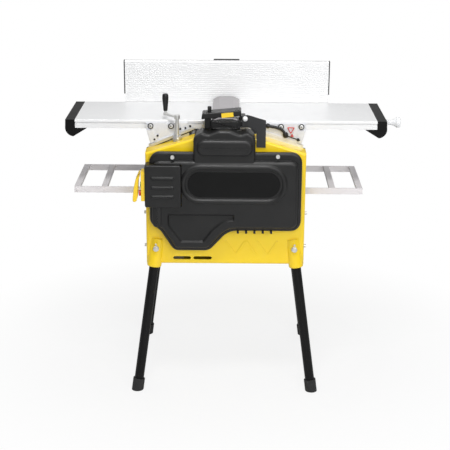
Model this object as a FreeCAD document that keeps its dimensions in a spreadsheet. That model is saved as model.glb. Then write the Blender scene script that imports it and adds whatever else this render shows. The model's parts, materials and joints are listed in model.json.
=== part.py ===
# Thickness planer with surface-planing tables, on four splayed legs.
# Machine axes: X along the tables, Y from the operator's side to the fence, Z up from the floor,
# with X 0 at the middle of the body and Y 0 at the tables' near edge. All sizes are millimetres.
import FreeCAD, Part
import math
import os
import re
import Sketcher

Vector = FreeCAD.Vector

SIZES = {
    # planing tables
    "table_top": 870.0,
    "table_depth": 270.0,
    "tables_length": 1010.0,
    "table_plate": 8.0,
    "skirt_height": 19.0,
    "skirt_wall": 6.0,
    "lip_overhang": 1.0,
    "groove_height": 4.0,
    "groove_depth": 3.5,
    "mouth_half": 38.0,
    "lip_width": 13.0,
    "lip_plate": 4.0,
    "cap_length": 30.0,
    "cap_hook": 38.0,
    "cap_drop": 54.0,
    # body and its roof
    "body_half": 250.0,
    "body_bottom": 421.0,
    "eave": 784.0,
    "ridge": 831.0,
    "ridge_half": 97.0,
    "hump_top": 856.0,
    "hump_half": 24.0,
    "chain_hump": 62.0,
    "shell_wall": 3.0,
    "frame_plate": 10.0,
    "passage_gap": 5.0,
    "front_depth": 65.0,
    "rear_depth": 35.0,
    "side_height": 173.0,
    "base_thick": 6.0,
    "bench_bolts_x": 360.0,
    "bench_bolts_y": 200.0,
    "bench_bolt_radius": 4.5,
    # ways and saddles
    "way_start": 116.0,
    "way_end": 243.0,
    "way_thick": 9.0,
    "saddle_wall": 5.0,
    "saddle_foot": 237.0,
    # cutter, rollers and feed
    "cutter_x": -8.0,
    "knife_radius": 31.5,
    "block_radius": 30.0,
    "cutter_width": 260.0,
    "journal_radius": 10.0,
    "bearing_radius": 23.5,
    "fit_gap": 0.05,
    "seat_gap": 0.3,
    "roller_reach": 52.0,
    "roller_radius": 14.0,
    "roller_drop": 1.0,
    "roller_shaft": 8.0,
    "bush_radius": 13.0,
    "finger_reach": 28.0,
    # motor and belts
    "motor_x": -105.0,
    "motor_z": 528.0,
    "motor_radius": 62.0,
    "motor_length": 225.0,
    "motor_shaft": 9.0,
    "cutter_pulley": 19.0,
    "motor_pulley": 41.5,
    "belt_width": 18.0,
    "belt_thick": 2.5,
    "pulley_setback": 12.0,
    "chain_radius": 13.0,
    # thicknessing table and its lift
    "bed_top": 652.0,
    "bed_highest": 800.0,
    "bed_half": 225.0,
    "bed_plate": 12.0,
    "bed_rib": 13.0,
    "rail_thick": 5.0,
    "rail_height": 20.0,
    "rail_length": 319.0,
    "rung_width": 19.0,
    "rung_thick": 10.0,
    "rung_pitch": 87.0,
    "left_reach": 484.0,
    "right_reach": 437.0,
    "column_x": 60.0,
    "column_half": 25.0,
    "screw_x": -152.0,
    "screw_y": -35.0,
    "screw_radius": 8.0,
    "spindle_radius": 5.5,
    "crank_height": 885.0,
    "crank_arm": 58.0,
    "grip_radius": 10.0,
    "grip_length": 55.0,
    # fence
    "fence_half": 340.0,
    "fence_height": 139.0,
    "fence_lift": 1.0,
    "fence_face": 3.0,
    "fence_box": 20.0,
    "fence_foot": 26.0,
    "arm_half": 25.0,
    "arm_thick": 8.0,
    "arm_length": 157.0,
    "pin_radius": 4.0,
    # guard
    "guard_left": -44.0,
    "guard_width": 86.0,
    "guard_edge": 885.0,
    "guard_crown": 9.0,
    "guard_wall": 3.0,
    "guard_front": -70.0,
    "guard_back": 256.0,
    "guard_post_radius": 5.0,
    "guard_post_foot": 800.0,
    # drive cover
    "cover_depth": 50.0,
    "cover_wall": 3.0,
    "dome_top": 866.0,
    "vent_depth": 60.0,
    "hood_back": -45.0,
    # legs
    "foot_x": 283.0,
    "foot_front": -122.0,
    "foot_rear": 338.0,
    "socket_z": 411.0,
    "socket_height": 92.0,
    "socket_radius": 23.0,
    "splay_x": 56.0,
    "splay_y": 46.0,
    "leg_radius": 15.0,
    "leg_wall": 1.5,
    "foot_radius": 19.0,
    "foot_height": 38.0,
    "depth_knob_y": 55.0,
    "depth_knob_z": 855.0,
    "depth_knob_radius": 16.5,
    "depth_screw_radius": 5.0,
    # where the machine axes lie in the part's frame, set once the extents are known
    "frame_x": 0.0,
    "frame_y": 0.0,
}

doc = FreeCAD.newDocument("planer")
sheet = doc.addObject("Spreadsheet::Sheet", "Sizes")
CELLS = {}
for row, (alias, number) in enumerate(SIZES.items(), 1):
    CELLS[alias] = f"A{row}"
    sheet.set(CELLS[alias], str(number))
    sheet.setAlias(CELLS[alias], alias)
doc.recompute()

parts = []
WORDS = re.compile(r"[a-z][a-z_]*")


def bound(expression):
    """The expression with each size's name pointing at its cell."""
    return WORDS.sub(lambda m: "Sizes." + m.group() if m.group() in SIZES else m.group(), str(expression))


def value(expression):
    """The expression's number now."""
    return float(sheet.evalExpression(bound(expression)))


def bind(thing, name, expression):
    thing.setExpression(name, bound(expression))


def keep(label, thing):
    """Names a finished sub-part and carries it from the machine axes into the part's frame."""
    thing.Label = label
    written = {path.lstrip("."): text for path, text in thing.ExpressionEngine}
    for axis in "xy":
        path = f"Placement.Base.{axis}"
        place = written.get(path, str(getattr(thing.Placement.Base, axis)))
        thing.setExpression(path, f"({place}) + Sizes.frame_{axis}")
    parts.append(thing)
    return thing


# ---- primitives, booleans and prisms ----
def block(x, y, z):
    """A box between pairs of expressions."""
    thing = doc.addObject("Part::Box", "Block")
    for side, axis, (low, high) in zip(("Length", "Width", "Height"), "xyz", (x, y, z)):
        bind(thing, side, f"({high}) - ({low})")
        bind(thing, f"Placement.Base.{axis}", low)
    return thing


AXIS_TURNS = {"x": (Vector(0, 1, 0), 90), "y": (Vector(1, 0, 0), -90), "z": (Vector(0, 0, 1), 0)}
AXIS_ORDER = {"x": "yzx", "y": "xzy", "z": "xyz"}


def round_bar(axis, centre, span, radius, end_radius=None):
    """A cylinder, or a cone with end_radius, along an axis; centre is on the other two axes."""
    thing = doc.addObject("Part::Cone" if end_radius else "Part::Cylinder", "Bar")
    turn, angle = AXIS_TURNS[axis]
    thing.Placement = FreeCAD.Placement(Vector(), FreeCAD.Rotation(turn, angle))
    for name, expression in zip(AXIS_ORDER[axis], (*centre, span[0])):
        bind(thing, f"Placement.Base.{name}", expression)
    bind(thing, "Height", f"({span[1]}) - ({span[0]})")
    bind(thing, "Radius1" if end_radius else "Radius", radius)
    if end_radius:
        bind(thing, "Radius2", end_radius)
    return thing


def leaning_bar(foot, side_x, side_y, low, high, radius):
    """A cylinder along a leg's axis, between two heights measured along that axis."""
    thing = doc.addObject("Part::Cylinder", "LeaningBar")
    lean = Vector(-side_x * value("splay_x"), -side_y * value("splay_y"), value("socket_z"))
    start = Vector(value(foot[0]), value(foot[1]), 0) + lean.normalize() * value(low)
    thing.Placement = FreeCAD.Placement(start, FreeCAD.Rotation(Vector(0, 0, 1), lean))
    bind(thing, "Radius", radius)
    bind(thing, "Height", f"({high}) - ({low})")
    return thing


def cut(base, *tools):
    thing = doc.addObject("Part::Cut", "Cut")
    thing.Base = base
    thing.Tool = tools[0] if len(tools) == 1 else group(*tools)
    return thing


def fuse(*shapes):
    thing = doc.addObject("Part::MultiFuse", "Fuse")
    thing.Shapes = list(shapes)
    thing.Refine = True
    return thing


def common(first, second):
    thing = doc.addObject("Part::MultiCommon", "Common")
    thing.Shapes = [first, second]
    return thing


def group(*solids):
    thing = doc.addObject("Part::Compound", "Group")
    thing.Links = list(solids)
    return thing


def rounded(thing, radius, chosen):
    """A fillet on the edges for which chosen(edge) is true."""
    doc.recompute()
    numbers = [n for n, edge in enumerate(thing.Shape.Edges, 1) if chosen(edge)]
    fillet = doc.addObject("Part::Fillet", "Rounded")
    fillet.Base = thing
    fillet.Edges = [(n, radius, radius) for n in numbers]
    return fillet


PLANES = {"xz": ("XZ_Plane", -1), "yz": ("YZ_Plane", 1), "xy": ("XY_Plane", 1)}


def outline_sketch(body, plane, points, start, arcs):
    """A closed sketch with corners bound to expressions. arcs maps a side's number to a point on its arc."""
    role, _ = PLANES[plane]
    sketch = body.newObject("Sketcher::SketchObject", "Outline")
    sketch.AttachmentSupport = [([o for o in body.Origin.OriginFeatures if o.Role == role][0], "")]
    sketch.MapMode = "FlatFace"
    bind(sketch, "AttachmentOffset.Base.z", start)
    corners = [Vector(value(a), value(b), 0) for a, b in points]
    count = len(corners)
    for n, corner in enumerate(corners):
        following = corners[(n + 1) % count]
        if n in arcs:
            middle = Vector(value(arcs[n][0]), value(arcs[n][1]), 0)
            sketch.addGeometry(Part.Arc(corner, middle, following), False)
        else:
            sketch.addGeometry(Part.LineSegment(corner, following), False)
    pin_corners(sketch, points, corners, arcs)
    return sketch


def pin_corners(sketch, points, corners, arcs):
    """Ties each corner of a sketch to its pair of expressions, and each arc to its own radius."""
    for n, (across, up) in enumerate(points):
        begins, ends = 1, 2
        if n in arcs:
            arc = sketch.Geometry[n]
            if (arc.StartPoint - corners[n]).Length > (arc.EndPoint - corners[n]).Length:
                begins, ends = 2, 1
            sketch.addConstraint(Sketcher.Constraint("Radius", n, arc.Radius))
        for kind, expression, number in (
            ("DistanceX", across, corners[n].x), ("DistanceY", up, corners[n].y),
        ):
            index = sketch.addConstraint(Sketcher.Constraint(kind, -1, 1, n, begins, number))
            sketch.setExpression(f"Constraints[{index}]", bound(expression))
        following = (n + 1) % len(points)
        later = sketch.Geometry[following]
        joins = 1
        if following in arcs and (later.StartPoint - corners[following]).Length > (
            later.EndPoint - corners[following]
        ).Length:
            joins = 2
        sketch.addConstraint(Sketcher.Constraint("Coincident", n, ends, following, joins))


def prism(plane, points, span, arcs=None):
    """A PartDesign body padded from an outline, between two places on the third axis."""
    body = doc.addObject("PartDesign::Body", "Body")
    _, way = PLANES[plane]
    low, high = span
    sketch = outline_sketch(body, plane, points, f"-({high})" if way < 0 else low, arcs or {})
    pad = body.newObject("PartDesign::Pad", "Pad")
    pad.Profile = sketch
    bind(pad, "Length", f"({high}) - ({low})")
    return body


def solid_feature(shape):
    """A shape made with Part's own functions, where neither a body nor a primitive fits."""
    thing = doc.addObject("Part::Feature", "Made")
    thing.Shape = shape
    return thing


def mirrored_in_x(points):
    """An outline turned left for right, in the same sense of travel."""
    return [(f"-({x})", z) for x, z in reversed(points)]


# ---- places that several sub-parts share ----
FRONT_FACE = "-passage_gap"
FRAME_FRONT = "-passage_gap - frame_plate"
PANEL_FRONT = "-passage_gap - frame_plate - front_depth"
REAR_FACE = "table_depth + passage_gap"
FRAME_REAR = "table_depth + passage_gap + frame_plate"
PANEL_REAR = "table_depth + passage_gap + frame_plate + rear_depth"
CUTTER_Z = "(table_top - knife_radius)"
SKIRT_BOTTOM = "(table_top - table_plate - skirt_height)"
PLATE_BOTTOM = "(table_top - table_plate)"
CUTTER_FRONT = "(table_depth - cutter_width) / 2"
CUTTER_BACK = "(table_depth + cutter_width) / 2"
ROLLER_Z = "(table_top - 2 * knife_radius - roller_drop + roller_radius)"
BED_BOTTOM = "(bed_top - bed_plate)"
RIB_BOTTOM = "(bed_top - bed_plate - bed_rib)"
TRAY_TOP = "(body_bottom + base_thick)"
COVER_FRONT = "(-passage_gap - frame_plate - front_depth - cover_depth)"
VENT_FRONT = "(-passage_gap - frame_plate - front_depth - vent_depth)"
PULLEY_BACK = "(-passage_gap - frame_plate - front_depth - pulley_setback)"


def roof(x, above="0"):
    """The roof's height at a distance x from the body's middle."""
    return f"(eave + (ridge - eave) * (body_half - ({x})) / (body_half - ridge_half) + {above})"


def house_outline(inset, hump="hump_half"):
    """The body's end profile: upright sides, sloping roof and a hump at the cutter, drawn in by inset."""
    side = f"(body_half - {inset})"
    return [
        (f"-{side}", f"body_bottom + {inset}"),
        (side, f"body_bottom + {inset}"),
        (side, f"eave - {inset}"),
        ("ridge_half", f"ridge - {inset}"),
        (f"cutter_x + {hump} + hump_half - {inset}", f"ridge - {inset}"),
        (f"cutter_x + {hump} - {inset}", f"hump_top - {inset}"),
        (f"cutter_x - {hump} + {inset}", f"hump_top - {inset}"),
        (f"cutter_x - {hump} - hump_half + {inset}", f"ridge - {inset}"),
        ("-ridge_half", f"ridge - {inset}"),
        (f"-{side}", f"eave - {inset}"),
    ]


LEGS = {
    "front_left": (-1, -1, "foot_front"),
    "front_right": (1, -1, "foot_front"),
    "rear_left": (-1, 1, "foot_rear"),
    "rear_right": (1, 1, "foot_rear"),
}
AXIAL = "sqrt(splay_x * splay_x + splay_y * splay_y + socket_z * socket_z) / socket_z"


def along_leg(name, low, high, radius):
    """A bar on a leg's axis from one height to another, given above the floor."""
    side_x, side_y, foot_y = LEGS[name]
    return leaning_bar(
        (f"{side_x} * foot_x", foot_y), side_x, side_y, f"({low}) * {AXIAL}", f"({high}) * {AXIAL}", radius
    )


# ---- body ----
def make_panel(front):
    """A yellow end casing: a shell with its leg sockets, and the ribs and slots of its lower face."""
    outer_span = (PANEL_FRONT, FRAME_FRONT) if front else (FRAME_REAR, PANEL_REAR)
    inner_span = (
        (
            f"{PANEL_FRONT} + shell_wall", f"{FRAME_FRONT} + 1",
        ) if front else (f"{FRAME_REAR} - 1", f"{PANEL_REAR} - shell_wall")
    )
    hump = "hump_half" if front else "chain_hump"
    shell = prism("xz", house_outline("0", hump), outer_span)
    front_y = value(PANEL_FRONT if front else PANEL_REAR)
    shell = rounded(shell, 7.0, lambda e: on_face_rim(e, front_y))
    shell = cut(shell, prism("xz", house_outline("shell_wall", hump), inner_span))
    row = ("front_left", "front_right") if front else ("rear_left", "rear_right")
    top = "socket_z + socket_height"
    sockets = [rounded(along_leg(n, "socket_z", top, "socket_radius"), 5.0, is_low_circle) for n in row]
    ribs = zigzag_ribs() if front else []
    shell = fuse(shell, *sockets, *ribs)
    bores = [along_leg(n, "socket_z - 30", f"{top} - 8", "leg_radius + seat_gap / 2") for n in row]
    motor_hole = round_bar(
        "y", ("motor_x", "motor_z"), (f"{PANEL_FRONT} - 2", f"{FRAME_FRONT} + 2"), "motor_shaft + 4",
    )
    cutter_hole = round_bar(
        "y", ("cutter_x", CUTTER_Z), (f"{PANEL_FRONT} - 2", f"{FRAME_FRONT} + 2"), "journal_radius + 3",
    )
    screw_hole = round_bar("z", ("screw_x", "screw_y"), ("eave", "ridge + 10"), "spindle_radius + 7.5")
    slots = [slot_cut(*place) for place in ((-137.0, 28.0), (-72.0, 29.0))] if front else vent_cuts()
    bolts = leg_bolt_bars("leg_bolt_hole", row)
    post_holes = [
        round_bar("z", place, ("ridge - 10", "hump_top + 5"), "guard_post_radius + 1.5")
        for place in POST_PLACES
    ]
    holes = [motor_hole, cutter_hole, screw_hole, *post_holes] if front else []
    return cut(shell, *bores, *bolts, *holes, *slots)


def on_face_rim(edge, y):
    """Is this edge on the rim of the face at that y?"""
    return all(abs(v.Y - y) < 1e-6 for v in edge.Vertexes)


def is_low_circle(edge):
    if not isinstance(edge.Curve, Part.Circle):
        return False
    return edge.CenterOfMass.z < value("socket_z + socket_height / 2")


RIB_RISE = 1.5
RIB_WIDTH = 7.0
RIB_LOW = 34.0
RIB_HIGH = 78.0


def zigzag_ribs():
    """Low slanting ribs that stiffen the lower face: pairs that lean together."""
    ribs = []
    for foot, head in ((28.0, -2.0), (32.0, 60.0), (92.0, 64.0), (128.0, 98.0), (134.0, 162.0)):
        low, high = f"body_bottom + {RIB_LOW}", f"body_bottom + {RIB_HIGH}"
        corners = [
            (f"{foot}", low), (f"{foot + RIB_WIDTH}", low), (f"{head + RIB_WIDTH}", high),
            (f"{head}", high),
        ]
        ribs.append(prism("xz", corners, (f"{PANEL_FRONT} - {RIB_RISE}", f"{PANEL_FRONT} + 1")))
    return ribs


def slot_cut(x, half):
    """One of the long round-ended vent slots at the foot of the front casing."""
    low, high = "body_bottom + 15", "body_bottom + 25"
    depth = (f"{PANEL_FRONT} - 3", f"{PANEL_FRONT} + shell_wall + 2")
    middle = block((f"{x - half + 5}", f"{x + half - 5}"), depth, (low, high))
    ends = [
        round_bar("y", (f"{x + way * (half - 5)}", "body_bottom + 20"), depth, "5")
        for way in (-1, 1)
    ]
    return fuse(middle, *ends)


def vent_cuts():
    """Cooling slots through the rear casing, beside the motor."""
    return [
        block(
            (f"motor_x - 45 + {18 * n}", f"motor_x - 37 + {18 * n}"),
            (f"{PANEL_REAR} - shell_wall - 2", f"{PANEL_REAR} + 2"),
            ("motor_z - 40", "motor_z + 40"),
        )
        for n in range(6)
    ]


LEG_BOLT_Z = 476.0
LEG_BOLT_RADIUS = 5.0
LEG_HEAD_RADIUS = 9.0


def leg_bolt_bars(kind, row):
    """The bolts through the sockets, or the holes that they pass."""
    gap = 0.2 if kind == "leg_bolt_hole" else 0.0
    bars = []
    for name in row:
        side_x, side_y, foot_y = LEGS[name]
        x = f"{side_x} * (foot_x - splay_x * {LEG_BOLT_Z} / socket_z)"
        y = f"{foot_y} - {side_y} * splay_y * {LEG_BOLT_Z} / socket_z"
        out = f"({y}) + {side_y} * (socket_radius + 1)"
        back = f"({y}) - {side_y} * (leg_radius + 4)"
        ends = (out, back) if side_y < 0 else (back, out)
        bars.append(round_bar("y", (x, f"{LEG_BOLT_Z}"), ends, f"{LEG_BOLT_RADIUS + gap}"))
        if kind != "leg_bolt_hole":
            head = (f"({out}) - 4", out) if side_y < 0 else (out, f"({out}) + 4")
            bars[-1] = fuse(bars[-1], round_bar("y", (x, f"{LEG_BOLT_Z}"), head, f"{LEG_HEAD_RADIUS}"))
    return bars


def socket_rooms():
    """The room that the rear sockets take out of the frame, the base and the side plates."""
    return [along_leg(n, "socket_z - 5", "socket_z + socket_height + 2", "socket_radius + seat_gap") for n in
            ("rear_left", "rear_right")]


def make_frame(front):
    """A cast end frame that carries the cutter, the rollers and the ways."""
    span = (FRAME_FRONT, FRONT_FACE) if front else (REAR_FACE, FRAME_REAR)
    outline = house_outline("0")
    outline[0] = ("-body_half", "body_bottom + base_thick")
    outline[1] = ("body_half", "body_bottom + base_thick")
    outline[5] = ("cutter_x + hump_half + 6", "hump_top + 8")
    outline[6] = ("cutter_x - hump_half - 6", "hump_top + 8")
    plate = prism("xz", outline, span)
    through = (f"({span[0]}) - 12", f"({span[1]}) + 12")
    holes = [round_bar("y", ("cutter_x", CUTTER_Z), through, "bearing_radius + fit_gap")]
    for side in ("-", "+"):
        holes.append(
            round_bar("y", (f"cutter_x {side} roller_reach", ROLLER_Z), through, "bush_radius + fit_gap")
        )
    if front:
        motor_room = round_bar("y", ("motor_x", "motor_z"), through, "motor_shaft + 4")
        slot = block(("screw_x - 11", "screw_x + 11"), through, ("bed_top - 47", "ridge - 41"))
        return cut(plate, *holes, motor_room, slot)
    output_room = round_bar("y", (GEAR_X, GEAR_Z), through, "10")
    return cut(plate, *holes, output_room, *socket_rooms())


def make_body():
    keep("front_panel", make_panel(True))
    keep("rear_panel", make_panel(False))
    keep("front_frame", make_frame(True))
    keep("rear_frame", make_frame(False))
    keep("base_tray", make_tray())


def make_tray():
    """The sheet-steel tray between the frames: its floor, its two sides and the lift column's guide."""
    floor = block(
        ("-body_half", "body_half"), (FRAME_FRONT, FRAME_REAR), ("body_bottom", "body_bottom + base_thick"),
    )
    holes = [
        round_bar("z", (x, y), ("body_bottom - 2", f"{TRAY_TOP} + 2"), "bench_bolt_radius")
        for x in ("-bench_bolts_x / 2", "bench_bolts_x / 2")
        for y in ("(table_depth - bench_bolts_y) / 2", "(table_depth + bench_bolts_y) / 2")
    ]
    solids = [cut(floor, *socket_rooms(), *holes)]
    for low, high in (("-body_half", "-body_half + shell_wall"), ("body_half - shell_wall", "body_half")):
        side = block((low, high), (FRONT_FACE, REAR_FACE), (TRAY_TOP, f"{TRAY_TOP} + side_height"))
        solids.append(cut(side, *socket_rooms()))
    solids.append(column_guide())
    return group(*solids)


def column_guide():
    """A square sleeve, open to the slot in which the lift column runs."""
    sleeve_bar = square_bar("column_half + 6", TRAY_TOP, f"{RIB_BOTTOM} - 7")
    return cut(sleeve_bar, square_bar("column_half + seat_gap", f"{TRAY_TOP} - 1", f"{RIB_BOTTOM} + 1"))


# ---- legs ----
def leg_tube(name):
    tube = cut(
        along_leg(name, "8", "socket_z + socket_height - 10", "leg_radius"),
        along_leg(name, "-20", "socket_z + 200", "leg_radius - leg_wall"),
    )
    return cut(tube, *leg_bolt_bars("leg_bolt_hole", (name,)))


def rubber_foot(name):
    """A cup over the leg's end, cut level with the floor."""
    side_x, _, foot_y = LEGS[name]
    cup = cut(
        along_leg(name, "-20", "foot_height", "foot_radius"),
        along_leg(name, "7.5", "foot_height + 10", "leg_radius + seat_gap / 2"),
    )
    x, y = f"{side_x} * foot_x", foot_y
    return common(cup, block((f"{x} - 60", f"{x} + 60"), (f"{y} - 60", f"{y} + 60"), ("0", "120")))


def make_legs():
    keep("legs", group(*(leg_tube(name) for name in LEGS)))
    keep("rubber_feet", group(*(rubber_foot(name) for name in LEGS)))


# ---- ways, saddles and planing tables ----
def sided(side, points):
    """An outline for the right-hand side, or its mirror image for the left."""
    return points if side > 0 else mirrored_in_x(points)


WEBS = ("front", "rear")


def way_span(end):
    """The ways lie along the tops of the two frames."""
    return (FRAME_FRONT, FRONT_FACE) if end == "front" else (REAR_FACE, FRAME_REAR)


def web_span(end):
    """A saddle's web stands on the middle of its way."""
    spare = "(frame_plate - saddle_wall) / 2"
    low, high = way_span(end)
    return (f"{low} + {spare}", f"{high} - {spare}")


def make_way(side, end):
    points = [
        ("way_start", roof("way_start")),
        ("way_end", roof("way_end")),
        ("way_end", roof("way_end", "way_thick")),
        ("way_start", roof("way_start", "way_thick")),
    ]
    return prism("xz", sided(side, points), way_span(end))


def saddle_web(side, end):
    """One upright web of a saddle, with its slanting outer edge."""
    lift = "way_thick + seat_gap"
    points = [
        ("way_start + 4", roof("way_start + 4", lift)),
        ("saddle_foot", roof("saddle_foot", lift)),
        ("body_half", SKIRT_BOTTOM),
        ("body_half", f"{PLATE_BOTTOM} + 2"),
        ("way_start + 4", f"{PLATE_BOTTOM} + 2"),
    ]
    return prism("xz", sided(side, points), web_span(end))


def saddle_rib(side):
    """The raised rib along the front web's slanting edge."""
    points = [
        ("saddle_foot - 20", roof("saddle_foot - 20", "way_thick + 4")),
        ("saddle_foot - 1", roof("saddle_foot - 1", "way_thick + 2")),
        ("body_half - 1", SKIRT_BOTTOM),
        ("body_half - 21", SKIRT_BOTTOM),
    ]
    face = web_span("front")[0]
    return prism("xz", sided(side, points), (f"{face} - 3", f"{face} + 1"))


def saddle_end(side, end):
    """A web with the sole that slides on its way and the flange that is bolted to the table's skirt."""
    lift, thick = "way_thick + seat_gap", "way_thick + seat_gap + 7"
    sole = [
        ("way_start + 4", roof("way_start + 4", lift)),
        ("saddle_foot - 16", roof("saddle_foot - 16", lift)),
        ("saddle_foot - 16", roof("saddle_foot - 16", thick)),
        ("way_start + 4", roof("way_start + 4", thick)),
    ]
    low, high = web_span(end)
    skirt = (f"{high} - 1", "lip_overhang") if end == "front" else (
        "table_depth - lip_overhang", f"{low} + 1",
    )
    x = ("way_start + 4", "body_half") if side > 0 else ("-body_half", "-way_start - 4")
    flange = block(x, skirt, (f"{PLATE_BOTTOM} - 13", f"{PLATE_BOTTOM} - 0.3"))
    return fuse(saddle_web(side, end), prism("xz", sided(side, sole), way_span(end)), flange)


def make_saddle(side):
    """A table's pair of castings, whose soles lie on the ways."""
    front = fuse(saddle_end(side, "front"), saddle_rib(side))
    return group(*(cut(end, *table_bolt_holes(side)) for end in (front, saddle_end(side, "rear"))))


TABLE_BOLTS = (172.0, 236.0)
BOLT_HEAD_RADIUS = 8.0


def table_bolt_bars(side):
    """Bolts that hold a table's skirts to its saddle."""
    bars = []
    for x in TABLE_BOLTS:
        place = (f"{side * x}", f"{PLATE_BOTTOM} - 7")
        face = web_span("front")[0]
        bars.append(fuse(
            round_bar("y", place, (f"{face} - 5", face), f"{BOLT_HEAD_RADIUS}"),
            round_bar("y", place, (f"{face} - 1", "lip_overhang + skirt_wall"), "4"),
        ))
        face = web_span("rear")[1]
        bars.append(fuse(
            round_bar("y", place, (face, f"{face} + 5"), f"{BOLT_HEAD_RADIUS}"),
            round_bar("y", place, ("table_depth - lip_overhang - skirt_wall", f"{face} + 1"), "4"),
        ))
    return bars


def table_bolt_holes(side):
    """The clearance holes for those bolts."""
    return [
        round_bar("y", (f"{side * x}", f"{PLATE_BOTTOM} - 7"), ("-25", "table_depth + 25"), "4.2")
        for x in TABLE_BOLTS
    ]


def make_table(side):
    """A planing table: a top plate with side skirts and two long ribs, and a step for the steel lip."""
    inner = f"cutter_x {'+' if side > 0 else '-'} mouth_half"
    outer = f"{side} * (tables_length / 2 - cap_length)"
    span = (inner, outer) if side > 0 else (outer, inner)
    plate = block(span, ("0", "table_depth"), (PLATE_BOTTOM, "table_top"))
    plate = rounded(plate, 2.5, lambda e: is_long_top_edge(e))
    pieces = [plate]
    for low in (
        "lip_overhang", "table_depth / 3", "2 * table_depth / 3", "table_depth - lip_overhang - skirt_wall",
    ):
        pieces.append(block(span, (low, f"({low}) + skirt_wall"), (SKIRT_BOTTOM, f"{PLATE_BOTTOM} + 1")))
    z = (f"{PLATE_BOTTOM} - groove_height", PLATE_BOTTOM)
    grooves = [
        block(span, ("lip_overhang - 1", "lip_overhang + groove_depth"), z),
        block(span, ("table_depth - lip_overhang - groove_depth", "table_depth - lip_overhang + 1"), z),
    ]
    return cut(fuse(*pieces), *grooves, *table_bolt_holes(side))


def is_long_top_edge(edge):
    low, high = edge.Vertexes[0], edge.Vertexes[-1]
    return abs(
        low.Z - value("table_top")
    ) < 1e-6 and abs(high.Z - low.Z) < 1e-6 and abs(low.Y - high.Y) < 1e-6


def make_lip(side):
    inner = f"cutter_x + {side} * (mouth_half - lip_width)"
    outer = f"cutter_x + {side} * mouth_half"
    span = (inner, outer) if side > 0 else (outer, inner)
    top = block(span, ("3", "table_depth - 3"), ("table_top - lip_plate", "table_top"))
    toe_inner = f"cutter_x + {side} * (mouth_half - 4)"
    toe = (toe_inner, outer) if side > 0 else (outer, toe_inner)
    return fuse(top, block(toe, ("3", "table_depth - 3"), (f"{PLATE_BOTTOM} - 2", "table_top - lip_plate")))


def make_end_cap(side):
    """A table's moulded end cap, hooked in under the table as a hand hold."""
    end, start = "tables_length / 2", "tables_length / 2 - cap_length"
    bottom = "table_top - cap_drop"
    points = [
        (start, SKIRT_BOTTOM),
        (f"{start} + cap_hook * -1", SKIRT_BOTTOM),
        (f"{start} + 6", bottom),
        (f"{end} + 1", "table_top - 22"),
        (end, "table_top"),
        (start, "table_top"),
    ]
    arcs = {2: (f"{end} - 5", "table_top - 44")}
    if side < 0:
        points = mirrored_in_x(points)
        arcs = {2: (f"-({end}) + 5", "table_top - 44")}
    cap = prism("xz", points, ("0", "table_depth"), arcs)
    if side < 0:
        return cap
    bore = round_bar(
        "x", ("depth_knob_y", "depth_knob_z"), (f"{start} - 60", f"{end} + 20"),
        "depth_screw_radius + seat_gap",
    )
    return cut(cap, bore)


def make_tables():
    keep("table_ways", group(*(make_way(side, end) for side in (-1, 1) for end in WEBS), depth_bracket()))
    for name, side in (("outfeed", -1), ("infeed", 1)):
        keep(f"{name}_saddle", make_saddle(side))
        keep(f"{name}_table", make_table(side))
        keep(f"{name}_lip", make_lip(side))
        keep(f"{name}_end_cap", make_end_cap(side))
    keep("infeed_table_bolts", group(*table_bolt_bars(1)))


def depth_bracket():
    """The bent strap, screwed inside the front frame, whose fork holds the depth screw's nut."""
    x = ("way_end - 22", "way_end - 10")
    top = "depth_knob_z + 1.5"
    strap = block(x, (FRONT_FACE, f"{FRONT_FACE} + 3"), ("eave - 30", "bed_highest + 8"))
    arm = block(x, (FRONT_FACE, "depth_knob_y + 15"), ("bed_highest + 5", "bed_highest + 12"))
    fork = block(x, ("depth_knob_y - 15", "depth_knob_y + 15"), ("bed_highest + 5", top))
    slot = block(
        ("way_end - 30", "way_end"), ("depth_knob_y - 8", "depth_knob_y + 8"),
        ("depth_knob_z - 14", "depth_knob_z + 6"),
    )
    return cut(fuse(strap, arm, fork), slot)


def make_depth_adjuster():
    """The knob, screw and floating nut that move the infeed table along its way."""
    place = ("depth_knob_y", "depth_knob_z")
    end = "tables_length / 2"
    knob = fuse(
        round_bar("x", place, (f"{end} + 2", f"{end} + 26"), "6", "13.5"),
        round_bar("x", place, (f"{end} + 26", f"{end} + 48"), "depth_knob_radius"),
    )
    keep(
        "depth_knob",
        cut(knob, round_bar("x", place, (f"{end} - 2", f"{end} + 40"), "depth_screw_radius + fit_gap")),
    )
    keep("depth_screw", round_bar("x", place, ("way_end - 34", f"{end} + 40"), "depth_screw_radius"))
    nut = block(("way_end - 22", "way_end - 11"), ("depth_knob_y - 7.7", "depth_knob_y + 7.7"),
                ("depth_knob_z - 8", "depth_knob_z + 6.5"))
    keep(
        "depth_nut",
        cut(nut, round_bar("x", place, ("way_end - 30", "way_end"), "depth_screw_radius + fit_gap")),
    )


# ---- cutter and feed ----
def make_cutter():
    """The cutter block with its two knives and their gibs, its shaft and pulley, and the bearings."""
    axis = ("cutter_x", CUTTER_Z)
    drum = round_bar("y", axis, (CUTTER_FRONT, CUTTER_BACK), "block_radius")
    drum = cut(drum, *(knife_room(side, 0.2) for side in (-1, 1)))
    shaft = round_bar("y", axis, (f"{PULLEY_BACK} - belt_width - 4", FRAME_REAR), "journal_radius")
    keep("cutter_block", fuse(drum, shaft))
    keep("cutter_knives", group(*(bar(side) for bar in (knife_bar, gib_bar) for side in (-1, 1))))
    span = (f"{PULLEY_BACK} - belt_width - 2", PULLEY_BACK)
    wheel = round_bar("y", axis, span, "cutter_pulley")
    bore = round_bar("y", axis, (f"{span[0]} - 1", f"{span[1]} + 1"), "journal_radius + fit_gap")
    keep("cutter_pulley", cut(wheel, bore))


KNIFE_THICK = 3.0
GIB_THICK = 9.0
KNIFE_DEPTH = 18.0


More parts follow.
